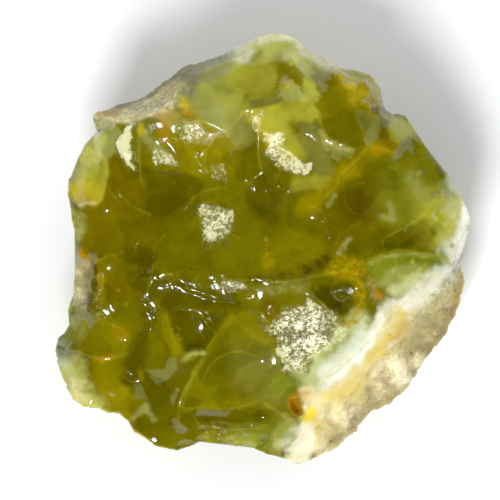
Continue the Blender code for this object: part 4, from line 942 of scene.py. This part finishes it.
def split_long(points, triangles, longest, where=None):
    """Cut every edge that is too long in two, only between marked points where some are."""
    edges, sides, _ = find_edges(triangles, len(points))
    too_long = np.linalg.norm(points[edges[:, 0]] - points[edges[:, 1]], axis=1) > longest
    if where is not None:
        too_long &= where[edges].all(axis=1)
    numbers = np.where(too_long, len(points) + np.cumsum(too_long) - 1, -1)
    middles = points[edges[too_long]].mean(axis=1)
    cuts = numbers[sides]
    count = (cuts >= 0).sum(axis=1)
    # Turn each triangle so that its cut sides come first, or its whole side comes last.
    turn = np.where(count == 1, np.argmax(cuts >= 0, axis=1), 0)
    turn = np.where(count == 2, (np.argmax(cuts < 0, axis=1) + 1) % 3, turn)
    order = (turn[:, None] + np.arange(3)) % 3
    a, b, c = np.take_along_axis(triangles, order, axis=1).T
    ab, bc, ca = np.take_along_axis(cuts, order, axis=1).T
    parts = [triangles[count == 0]]
    for number, corners in ((1, ((a, ab, c), (ab, b, c))),
                            (2, ((a, ab, c), (ab, bc, c), (ab, b, bc))),
                            (3, ((a, ab, ca), (ab, b, bc), (ca, bc, c), (ab, bc, ca)))):
        parts += [np.column_stack(corner)[count == number] for corner in corners]
    return np.concatenate((points, middles)), np.concatenate(parts)


def in_ring(places, ring):
    """Whether each plan place lies inside a closed ring."""
    x, y = places[:, 0], places[:, 1]
    within = np.zeros(len(places), bool)
    for (x1, y1), (x2, y2) in zip(ring, (*ring[1:], ring[0])):
        if y1 == y2:
            continue
        crosses = ((y1 > y) != (y2 > y)) & (x < x1 + (y - y1) * (x2 - x1) / (y2 - y1))
        within ^= crosses
    return within


def line_distance(places, line):
    """Plan distance from each place to a line of points."""
    result = np.full(len(places), 1e9)
    plan = places[:, :2]
    starts = line if len(line) == 1 else line[:-1]
    ends = line if len(line) == 1 else line[1:]
    for start, end in zip(np.array(starts, float), np.array(ends, float)):
        along = end - start
        share = np.clip((plan - start) @ along / max(along @ along, 1e-9), 0.0, 1.0)
        away = plan - start - share[:, None] * along
        result = np.minimum(result, np.hypot(away[:, 0], away[:, 1]))
    return result


def ring_mask(places, ring, softness):
    """1 inside a ring, 0 outside and a soft rise across its line."""
    gap = line_distance(places, (*ring, ring[0]))
    signed = np.where(in_ring(places, ring), gap, -gap)
    return smooth_step(signed, -softness, softness)


def carve_scar(points, normals, middle, facing, radius, depth):
    """Press a hollow ball scar into the skin. Its rim is a sharp line of the mesh."""
    ball_radius = (radius * radius + depth * depth) / (2.0 * depth)
    ball_middle = middle + facing * (ball_radius - depth)
    near = np.nonzero(((points - middle) ** 2).sum(axis=1) < (SCAR_REACH * radius) ** 2)[0]
    away = points[near] - ball_middle
    distance = np.linalg.norm(away, axis=1)
    rise = away @ facing
    across = np.sqrt(np.maximum(distance ** 2 - rise ** 2, 0.0))
    cut = rise + np.sqrt(np.maximum(ball_radius ** 2 - across ** 2, 0.0))
    cut = np.where(distance < ball_radius, cut, 0.0)
    if cut.max(initial=0.0) > min(DEEPEST_CUT, CUT_LIMIT * depth):
        return
    outward = away / distance[:, None]
    slide = outward - (outward * normals[near]).sum(axis=1)[:, None] * normals[near]
    steepness = np.maximum(np.linalg.norm(slide, axis=1), LEAST_STEEPNESS)
    gap = (distance - ball_radius) / steepness
    on_rim = np.abs(gap) < SNAP
    moved = points[near] - np.where(on_rim, gap / steepness, 0.0)[:, None] * slide
    deep = (cut > 0.0) & ~on_rim
    moved[deep] -= cut[deep, None] * facing
    points[near] = moved


def press_facets(points, triangles):
    """Press every named facet in as a shallow pan with a crisp rim."""
    normals = point_normals(points, triangles)
    for _, _, depth, ring in FACETS.values():
        if depth == 0.0:
            continue
        low = np.array(ring).min(axis=0) - PAN_MARGIN
        high = np.array(ring).max(axis=0) + PAN_MARGIN
        near = ((points[:, :2] > low) & (points[:, :2] < high)).all(axis=1)
        near &= normals[:, 2] > ON_FACE
        near = np.nonzero(near)[0]
        places = snap_to_ring(points[near], normals[near], ring)
        gap = np.where(in_ring(places, ring), line_distance(places, (*ring, ring[0])), 0.0)
        press = depth * (1.0 - np.exp(-gap / PAN_REACH))
        points[near] = places - press[:, None] * normals[near]
    return points


def mirror_facing():
    """The direction that a facet faces when it throws the key light into the camera."""
    tilt = math.radians(KEY_ANGLE / 2)
    bearing = np.array(KEY_BEARING) / np.hypot(*KEY_BEARING)
    return np.array((*(bearing * math.sin(tilt)), math.cos(tilt)))


def turn_to_key(points, triangles):
    """Flatten the sparkling facets to the plane that throws the key light up."""
    normals = point_normals(points, triangles)
    facing = mirror_facing()
    ragged = ragged_places(points)
    for glitter, reach, ring in SPARKLE_FACETS.values():
        share = facet_depth(ragged, ring, reach) * smooth_step(normals[:, 2], *GLITTER_SETS_IN)
        off_plane = (points - np.average(points, axis=0, weights=share)) @ facing
        turn = TURN * min(1.0, glitter) ** 2
        points = points - (turn * share * off_plane)[:, None] * facing
    return points


def noise_push(points, size, shift):
    """Noise of a grain size at every point, in each of the three directions."""
    return np.column_stack([noise_at(points, size, shift + 20 * axis) for axis in range(3)])


def ragged_places(points):
    """Places pushed about by noise, so that a ring read at them has a ragged edge."""
    places = points
    for size, reach in RAGGED_PUSHES:
        places = places + reach * noise_push(points, size, 4)
    return places


def facet_depth(places, ring, reach):
    """0 outside a ring, with a rise to 1 at a distance inside it."""
    gap = line_distance(places, (*ring, ring[0]))
    return np.where(in_ring(places, ring), smooth_step(gap, 0.0, reach), 0.0)


def near_dots(points):
    """Whether each point lies near a raised form of one point."""
    dots = [line[0] for _, _, lines in RAISED.values() for line in lines if len(line) == 1]
    return np.min([np.hypot(*(points[:, :2] - dot).T) for dot in dots], axis=0) < DOT_REACH


def raise_forms(points, triangles):
    """Raise the sun dots, the lumps of the rind and the hackles."""
    normals = point_normals(points, triangles)
    for height, half_width, lines in RAISED.values():
        for line in lines:
            middle = np.mean(line, axis=0)
            near = np.abs(points[:, :2] - middle).max(axis=1) < RAISED_REACH
            near = np.nonzero(near & (normals[:, 2] > ON_RIM))[0]
            gap = line_distance(points[near], line) / half_width
            rise = height * np.maximum(1.0 - gap * gap, 0.0) ** 2
            points[near] += rise[:, None] * normals[near]
    return points


def roughen_rind(points, triangles, rind):
    """Rounded grains over the rind, with creases pressed in between them, and the creases."""
    normals = point_normals(points, triangles)
    creases = np.zeros(len(points))
    for number, (width, depth) in enumerate(RIND_GRAINS):
        level = np.abs(noise_at(points, width, GRAIN_SHIFT + number))
        crease = np.maximum(1.0 - GRAIN_RISE * level, 0.0)
        creases = np.maximum(creases, crease * rind)
        points = points - (depth * crease * rind)[:, None] * normals
    return points, creases


def snap_to_ring(places, normals, ring):
    """Points close to a ring's line slid over the skin onto it, so that the line is crisp."""
    result = places.copy()
    best = np.full(len(places), SNAP)
    for start, end in zip(np.array(ring, float), np.array((*ring[1:], ring[0]), float)):
        along = end - start
        share = np.clip((places[:, :2] - start) @ along / (along @ along), 0.0, 1.0)
        slide = start + share[:, None] * along - places[:, :2]
        gap = np.hypot(slide[:, 0], slide[:, 1])
        closer = gap < best
        best = np.where(closer, gap, best)
        rise = -(slide * normals[:, :2]).sum(axis=1) / normals[:, 2]
        moved = places + np.column_stack((slide, rise))
        result[closer] = moved[closer]
    return result


def carve_scars(points, triangles, allowed):
    """Random scars over the opal, the large ones first."""
    rng = random.Random(SEED)
    edges, _, _ = find_edges(triangles, len(points))
    normals = point_normals(points, triangles)
    calm_normals = unit(spread(normals, edges, CALM_ROUNDS))
    steep = allowed & (normals[:, 2] < STEEP)
    rounds = [(allowed, *one) for one in SCAR_ROUNDS] + [(steep, *one) for one in SIDE_ROUNDS]
    for field, count, smallest, largest, share in rounds:
        places = np.nonzero(field)[0]
        for _ in range(count):
            place = places[rng.randrange(len(places))]
            radius = rng.uniform(smallest, largest)
            depth = radius * share * rng.uniform(*DEPTH_SPREAD)
            carve_scar(points, calm_normals, points[place].copy(), calm_normals[place], radius,
                       depth)
    return points


def cut_finer(points, triangles):
    """The solid's skin with fine triangles, the finest ones at the raised dots."""
    rind = rind_mask(points, point_normals(points, triangles))
    folds = sharp_folds(points, triangles, np.where(rind > 0.5, RIND_FOLD, OPAL_FOLD))
    for _ in range(2):
        points, triangles, folds = refine(points, triangles, folds)
    for longest in LONGEST_EDGES:
        points, triangles = split_long(points, triangles, longest)
    for _ in range(2):
        at_dot = (point_normals(points, triangles)[:, 2] > ON_RIM) & near_dots(points)
        points, triangles = split_long(points, triangles, DOT_EDGE, at_dot)
    return points, triangles


def work_skin(points, triangles):
    """The skin with its facets, scars, raised forms and grains, and the rind's creases."""
    normals = point_normals(points, triangles)
    rind = rind_mask(points, normals)
    kept = np.zeros(len(points), bool)
    for ring in (*(facet[-1] for facet in SPARKLE_FACETS.values()), *MIRROR_FACETS.values()):
        kept |= in_ring(points, ring) & (normals[:, 2] > ON_FACE)
    points = press_facets(points, triangles)
    points = turn_to_key(points, triangles)
    points = carve_scars(points, triangles, (rind < RIND_LIMIT) & ~kept)
    points = raise_forms(points, triangles)
    return roughen_rind(points, triangles, rind)


def make_skin():
    """The finished skin: points, triangles and masks by name."""
    solid_points, solid_triangles = read_solid("opal")
    points, triangles = cut_finer(solid_points, solid_triangles)
    points, creases = work_skin(points, triangles)
    points = np.clip(points, solid_points.min(axis=0), solid_points.max(axis=0))
    normals = point_normals(points, triangles)
    ragged = ragged_places(points)
    masks = {
        "rind": rind_mask(points, normals),
        "ridge": ridge_mask(points, triangles),
        "sparkle": sparkle_mask(ragged, normals),
        "broken": broken_mask(ragged),
    }
    masks.update(make_paint(points, normals, masks["rind"], creases))
    return points, triangles, masks


def sparkle_mask(ragged, normals):
    """How much the skin glitters at every point."""
    sparkle = np.zeros(len(ragged))
    for glitter, reach, ring in SPARKLE_FACETS.values():
        softness = GLITTER_SOFTNESS * reach
        sparkle = np.maximum(sparkle, glitter * ring_mask(ragged, ring, softness))
    return sparkle * smooth_step(normals[:, 2], *GLITTER_SETS_IN)


def broken_mask(ragged):
    """Where the gloss breaks up into fine glints."""
    return np.max([1.0 - smooth_step(line_distance(ragged, line), 0.0, width)
                   for width, line in BROKEN_PLACES], axis=0)


def ridge_mask(points, triangles):
    """How much the skin bulges at every point: 0 in hollows and 1 on sharp ridges."""
    edges, _, _ = find_edges(triangles, len(points))
    normals = point_normals(points, triangles)
    bulge = ((points - spread(points, edges, 1)) * normals).sum(axis=1)
    return smooth_step(bulge, *RIDGE_BULGE)


def rind_mask(points, normals, skirt=0.0):
    """Where the stone keeps its rind, with its edge let out by a skirt in millimetres."""
    edgy = points
    for size, reach in RIND_WANDER:
        edgy = edgy + reach * noise_at(points, size)[:, None]
    front = smooth_step(normals[:, 2], *PAINT_BEGINS)
    soft = RIND_SOFTNESS + skirt
    side = np.maximum(ring_mask(edgy, RIND_SIDE, soft), ring_mask(edgy, RIND_WALL, soft))
    size, reach = SCAR_WANDER
    azimuth = np.degrees(np.arctan2(edgy[:, 1], edgy[:, 0])) + reach * noise_at(points, size, 13)
    azimuth %= 360.0
    end, foot = SCAR_SOFTNESS
    inner_end = end + DEGREES_PER_MM * skirt
    back = np.ones(len(points))
    for low, high, start in BACK_SCARS:
        on_scar = (smooth_step(azimuth, low - end, low + inner_end)
                   * smooth_step(-azimuth, -high - end, inner_end - high)
                   * smooth_step(edgy[:, 2], start - foot, start + foot + SKIRT_AT_FOOT * skirt))
        back = np.minimum(back, 1.0 - on_scar)
    return front * side + (1.0 - front) * back


def linear(screen):
    """A screen colour's share of light."""
    share = np.array(screen) / 255.0
    return np.where(share <= 0.04045, share / 12.92, ((share + 0.055) / 1.055) ** 2.4)


def blend(base, colour, share):
    """Point colours with a colour of the palette laid over them by a share."""
    return base + share[:, None] * (linear(PALETTE[colour]) - base)


def base_paint(points, normals, rind, creases):
    """The tones under the strokes: olive, stained green sides, milky skirt, stained rind and
    painted shade in its creases.
    """
    side = 1.0 - smooth_step(normals[:, 2], *SIDE_ENDS)
    skirt = side * rind_mask(points, normals, SKIRT) * (1.0 - rind)
    base = np.tile(linear(PALETTE["olive"]), (len(points), 1))
    base = stain(base, points, SIDE_STAINS, SIDE_STAIN_EDGE, side)
    base = blend(base, "milky lime", SKIRT_STRENGTH * skirt)
    base = blend(base, "rind", rind)
    base = stain(base, points, RIND_STAINS, RIND_STAIN_EDGE, rind)
    # Painted shade in the creases between the rind's grains.
    return blend(base, "shade", CREASE_SHADE * creases ** 2)


def stain(base, points, stains, edge, where):
    """Point colours with patches of noise stained over them."""
    for colour, size, shift, start, strength in stains:
        share = strength * smooth_step(noise_at(points, size, shift), start, start + edge)
        base = blend(base, colour, share * where)
    return base


def facet_tones(points, fine):
    """Each facet's colour and its share at every point."""
    ragged = ragged_places(points)
    crisp = points + FACET_WARP * fine
    for facet, (colour, strength, _, ring) in FACETS.items():
        places = ragged if facet in RAGGED_FACETS else crisp
        yield colour, strength * ring_mask(places, ring, SOFT_FACETS.get(facet, FACET_EDGE))


def stroke_gaps(points):
    """How far the strokes are broken at every point."""
    gaps = GAP_LEVEL
    for size, strength, shift in GAP_NOISE:
        gaps = gaps - strength * noise_at(points, size, shift)
    return np.clip(gaps, 0.0, 1.0)


def stroke_tones(points, strokes, wide, fine, gaps):
    """Each stroke's colour and its share at every point, a line at a time."""
    for colour, strength, full, ends, *lines in strokes:
        loose = min(1.0, ends / LOOSE_WIDTH)
        places = points + WIDE_PUSH[1] * loose * wide
        places = places + (FINE_PUSH[1] + FINE_PUSH[2] * loose) * fine
        whole = 1.0 - gaps * min(MOST_GAPS, GAP_WIDTH / ends)
        for line in lines:
            away = smooth_step(line_distance(places, line), full * STROKE_CORE, ends)
            yield colour, strength * (1.0 - away) * whole


def make_paint(points, normals, rind, creases):
    """The painted colour of every point, between the grains and on them."""
    front = smooth_step(normals[:, 2], *PAINT_BEGINS)
    wide = noise_push(points, WIDE_PUSH[0], 3)
    fine = noise_push(points, FINE_PUSH[0], 5)
    gaps = stroke_gaps(points)
    base = base_paint(points, normals, rind, creases)
    layers = {"paint": base, "dust_and_shade": base}

    def lay(tones, thin=1.0, thick=1.0):
        for colour, share in tones:
            for layer, strength in (("paint", thin), ("dust_and_shade", thick)):
                cover = np.clip(strength * share * front, 0.0, 1.0)
                layers[layer] = blend(layers[layer], colour, cover)

    for group, strokes in PAINT.items():
        if group == "top mass":
            lay(facet_tones(points, fine))
        lay(stroke_tones(points, strokes, wide, fine, gaps), *DUST_AND_SHADE_GROUPS.get(group, (1.0, 1.0)))
    return layers


def make_object(name, points, triangles, masks):
    """A smooth shaded mesh object with one number per point for each mask."""
    mesh = bpy.data.meshes.new(name)
    mesh.from_pydata((points * MM).tolist(), [], triangles.tolist())
    mesh.shade_smooth()
    for mask, values in masks.items():
        if values.ndim == 1:
            layer = mesh.attributes.new(mask, "FLOAT", "POINT")
            layer.data.foreach_set("value", values.astype(np.float32))
        else:
            layer = mesh.attributes.new(mask, "FLOAT_COLOR", "POINT")
            colours = np.column_stack((values, np.ones(len(values))))
            layer.data.foreach_set("color", colours.astype(np.float32).reshape(-1))
    result = bpy.data.objects.new(name, mesh)
    bpy.context.scene.collection.objects.link(result)
    return result


def stone_material():
    """Wet see-into opal with a matt rind, from the painted colour and noise."""
    material = bpy.data.materials.new("opal_stone")
    material.use_nodes = True
    tree = material.node_tree
    shader = tree.nodes["Principled BSDF"]
    place = tree.nodes.new("ShaderNodeTexCoord").outputs["Object"]
    rind = attribute(tree, "rind", "Fac")
    sparkle = attribute(tree, "sparkle", "Fac")
    grains = grain(tree, place, *CRUST_GRAINS)
    specks = glitter_specks(tree, place, sparkle)
    paint = paint_with_dust_and_shade(tree, place)
    # Painted glints: the specks of a glittering facet are coloured pale yellow, over their gloss.
    opal = blend_colour(tree, "MIX", multiply(tree, specks, PAINTED_GLINT_STRENGTH),
                        opal_colour(tree, place, paint), plain(tree, "pale yellow"))
    crust = tinted(tree, paint, CRUST_STRENGTH, grains, CRUST_TINTS)
    colour = blend_colour(tree, "MIX", rind, opal, crust)
    tree.links.new(colour, shader.inputs["Base Color"])
    tree.links.new(gloss(tree, rind, sparkle, specks), shader.inputs["Roughness"])
    tree.links.new(relief(tree, place, rind, sparkle, grains), shader.inputs["Normal"])
    shader.inputs["IOR"].default_value = 1.5
    shader.inputs["Subsurface Weight"].default_value = 0.5
    shader.inputs["Subsurface Radius"].default_value = (1.0, 0.9, 0.3)
    shader.inputs["Subsurface Scale"].default_value = 0.003
    return material


def paint_with_dust_and_shade(tree, place):
    """The painted colour, with the stains and painted shade of some groups broken into grains."""
    dust_and_shade = grey_ramp(tree, grain(tree, place, *DUST_AND_SHADE_GRAINS), DUST_AND_SHADE_LEVELS)
    return blend_colour(tree, "MIX", dust_and_shade, attribute(tree, "paint", "Color"),
                        attribute(tree, "dust_and_shade", "Color"))


def opal_colour(tree, place, paint):
    """The opal's colour: clouds, flaws of two sizes, cracks and lit ridges over the paint."""
    clouds = grain(tree, place, *CLOUDS)
    opal = tinted(tree, paint, CLOUD_STRENGTH, clouds, CLOUD_TINTS)
    clear = grey_ramp(tree, paint, CLEAR_LEVELS)
    flaw_place = warped(tree, place, *FLAW_BEND)
    flaws = cells(tree, flaw_place, FLAW_SIZE, "F1", "Color")
    opal = tinted(tree, opal, clear, flaws, FLAW_TINTS)
    small_place = warped(tree, place, *SMALL_FLAW_BEND)
    small_flaws = cells(tree, small_place, SMALL_FLAW_SIZE, "F1", "Color")
    opal = tinted(tree, opal, clear, small_flaws, SMALL_FLAW_TINTS)
    cracks = cells(tree, flaw_place, FLAW_SIZE, "DISTANCE_TO_EDGE", "Distance")
    cracks = multiply(tree, grey_ramp(tree, cracks, CRACK_LEVELS), clouds)
    # Painted highlight: the ridges are lightened towards the edge colour.
    ridges = multiply(tree, attribute(tree, "ridge", "Fac"), RIDGE_HIGHLIGHT_STRENGTH)
    for lines in (cracks, ridges):
        opal = blend_colour(tree, "MIX", lines, opal, plain(tree, "edge"))
    return opal


def glitter_specks(tree, place, sparkle):
    """Bright specks, dense where the skin glitters and in loose and close patches there."""
    patches = grain(tree, place, *PATCHES)
    density = multiply_add(tree, patches, PATCH_DENSITY, grain(tree, place, *SPECKS))
    density = multiply_add(tree, sparkle, GLITTER_DENSITY, density)
    return grey_ramp(tree, multiply(tree, density, DENSITY_SCALE), SPECK_LEVELS)


def gloss(tree, rind, sparkle, specks):
    """Roughness: a wet opal, a matt rind and dull ground between the specks of a glitter."""
    wet = tree.nodes.new("ShaderNodeMapRange")
    wet.inputs["To Min"].default_value = WET_ROUGHNESS
    wet.inputs["To Max"].default_value = RIND_ROUGHNESS
    tree.links.new(rind, wet.inputs["Value"])
    dull = multiply(tree, grey_ramp(tree, sparkle, GLITTER_LEVELS),
                    grey_ramp(tree, specks, DULL_LEVELS))
    return multiply_add(tree, dull, 1.0, wet.outputs["Result"])


def relief(tree, place, rind, sparkle, grains):
    """Fine bump: ripples, glints, broken gloss and the rind's grains."""
    glints = grain(tree, place, *GLINTS)
    ripples = grain(tree, place, *RIPPLES)
    bump = bump_node(tree, ripples, *RIPPLE_BUMP, None)
    for height, mask, (strength, distance) in (
            (glints, sparkle, GLINT_BUMP), (ripples, attribute(tree, "broken", "Fac"), BROKEN_BUMP),
            (grains, rind, CRUST_BUMP)):
        bump = bump_node(tree, height, multiply(tree, mask, strength), distance, bump)
    return bump


def attribute(tree, name, output):
    """A mask or colour of the mesh."""
    node = tree.nodes.new("ShaderNodeAttribute")
    node.attribute_name = name
    return node.outputs[output]


def grain(tree, place, size, detail, roughness):
    """Noise with grains of a size in millimetres."""
    node = tree.nodes.new("ShaderNodeTexNoise")
    node.inputs["Scale"].default_value = 1.0 / (size * MM)
    node.inputs["Detail"].default_value = detail
    node.inputs["Roughness"].default_value = roughness
    tree.links.new(place, node.inputs["Vector"])
    return node.outputs["Fac"]


def ramp(tree, value, stops):
    """A colour ramp over a value."""
    node = tree.nodes.new("ShaderNodeValToRGB")
    elements = node.color_ramp.elements
    while len(elements) < len(stops):
        elements.new(0.5)
    for element, (position, colour) in zip(elements, stops):
        element.position = position
        element.color = (*colour, 1.0)
    tree.links.new(value, node.inputs["Fac"])
    return node.outputs["Color"]


def tinted(tree, colour, strength, value, tints):
    """A colour multiplied by tints that follow a value."""
    return blend_colour(tree, "MULTIPLY", strength, colour, ramp(tree, value, tints))


def grey_ramp(tree, value, stops):
    """A ramp of plain levels over a value."""
    return ramp(tree, value, [(position, (level,) * 3) for position, level in stops])


def blend_colour(tree, kind, factor, first, second):
    """Two colours blended by a factor that is a number or a socket."""
    node = tree.nodes.new("ShaderNodeMix")
    node.data_type = "RGBA"
    node.blend_type = kind
    if isinstance(factor, float):
        node.inputs["Factor"].default_value = factor
    else:
        tree.links.new(factor, node.inputs["Factor"])
    tree.links.new(first, node.inputs["A"])
    tree.links.new(second, node.inputs["B"])
    return node.outputs["Result"]


def multiply(tree, value, factor):
    """A value times a number or another value."""
    node = tree.nodes.new("ShaderNodeMath")
    node.operation = "MULTIPLY"
    tree.links.new(value, node.inputs[0])
    if isinstance(factor, float):
        node.inputs[1].default_value = factor
    else:
        tree.links.new(factor, node.inputs[1])
    return node.outputs["Value"]


def multiply_add(tree, value, factor, more):
    """A value times a number, plus another value."""
    node = tree.nodes.new("ShaderNodeMath")
    node.operation = "MULTIPLY_ADD"
    tree.links.new(value, node.inputs[0])
    node.inputs[1].default_value = factor
    tree.links.new(more, node.inputs[2])
    return node.outputs["Value"]


def plain(tree, name):
    """A colour of the palette."""
    socket = tree.nodes.new("ShaderNodeRGB").outputs["Color"]
    socket.default_value = (*linear(PALETTE[name]), 1.0)
    return socket


def warped(tree, place, size, reach):
    """Places pushed about by noise of a size, both in millimetres."""
    node = tree.nodes.new("ShaderNodeTexNoise")
    node.inputs["Scale"].default_value = 1.0 / (size * MM)
    node.inputs["Detail"].default_value = 0.0
    tree.links.new(place, node.inputs["Vector"])
    push = tree.nodes.new("ShaderNodeVectorMath")
    push.operation = "MULTIPLY_ADD"
    tree.links.new(node.outputs["Color"], push.inputs[0])
    push.inputs[1].default_value = (reach * MM,) * 3
    tree.links.new(place, push.inputs[2])
    return push.outputs["Vector"]


def cells(tree, place, size, feature, output):
    """Random cells of a size in millimetres."""
    node = tree.nodes.new("ShaderNodeTexVoronoi")
    node.feature = feature
    node.inputs["Scale"].default_value = 1.0 / (size * MM)
    tree.links.new(place, node.inputs["Vector"])
    return node.outputs[output]


def bump_node(tree, height, strength, distance, before):
    """Bump of a height in millimetres, over an earlier bump."""
    node = tree.nodes.new("ShaderNodeBump")
    node.inputs["Distance"].default_value = distance * MM
    if isinstance(strength, float):
        node.inputs["Strength"].default_value = strength
    else:
        tree.links.new(strength, node.inputs["Strength"])
    tree.links.new(height, node.inputs["Height"])
    if before is not None:
        tree.links.new(before, node.inputs["Normal"])
    return node.outputs["Normal"]


def make_floor():
    """Plain pale floor."""
    mesh = bpy.data.meshes.new("floor")
    corners = [(x * FLOOR_REACH, y * FLOOR_REACH, 0) for x, y in
               ((-1, -1), (1, -1), (1, 1), (-1, 1))]
    mesh.from_pydata(corners, [], [(0, 1, 2, 3)])
    floor = bpy.data.objects.new("floor", mesh)
    bpy.context.scene.collection.objects.link(floor)
    material = bpy.data.materials.new("floor_paper")
    material.use_nodes = True
    shader = material.node_tree.nodes["Principled BSDF"]
    shader.inputs["Base Color"].default_value = FLOOR_COLOUR
    shader.inputs["Roughness"].default_value = 1.0
    shader.inputs["Specular IOR Level"].default_value = 0.0
    mesh.materials.append(material)


def aim(thing, target):
    """Turn a lamp or camera to look at a point."""
    thing.rotation_mode = "QUATERNION"
    thing.rotation_quaternion = (Vector(target) - thing.location).to_track_quat("-Z", "Y")


def add_lamp(name, bearing, angle, distance, size, power):
    """A square soft box that looks at the stone."""
    data = bpy.data.lights.new(name, "AREA")
    data.shape = "SQUARE"
    data.size = size
    data.energy = power
    lamp = bpy.data.objects.new(name, data)
    bpy.context.scene.collection.objects.link(lamp)
    across = Vector((bearing[0], bearing[1], 0.0)).normalized() * math.sin(math.radians(angle))
    lamp.location = (across + Vector((0.0, 0.0, math.cos(math.radians(angle))))) * distance
    aim(lamp, STONE_MIDDLE)
    return lamp


def make_lights():
    """The lamps, and a pale sky that doesn't show in gloss."""
    for *settings, lights_matt, shows_in_gloss in LAMPS:
        lamp = add_lamp(*settings)
        lamp.visible_diffuse = lights_matt
        lamp.visible_glossy = shows_in_gloss
    world = bpy.data.worlds.new("world")
    bpy.context.scene.world = world
    world.use_nodes = True
    world.cycles_visibility.glossy = False
    background = world.node_tree.nodes["Background"]
    background.inputs["Color"].default_value = SKY_COLOUR
    background.inputs["Strength"].default_value = SKY_STRENGTH


def make_camera():
    """Straight above the stone, with the photograph's frame at the outline's height."""
    data = bpy.data.cameras.new("camera")
    data.sensor_width = SENSOR_WIDTH
    data.lens = SENSOR_WIDTH * (CAMERA_HEIGHT - OUTLINE_HEIGHT) / FRAME_WIDTH
    data.clip_end = 10.0
    camera = bpy.data.objects.new("camera", data)
    bpy.context.scene.collection.objects.link(camera)
    camera.location = Vector((*FRAME_MIDDLE, CAMERA_HEIGHT)) * MM
    bpy.context.scene.camera = camera


make_camera()
make_lights()
make_floor()
stone = make_object("opal_stone_skin", *make_skin())
stone.data.materials.append(stone_material())
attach(stone, "root")
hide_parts("opal")
bpy.context.scene.view_settings.view_transform = "Standard"
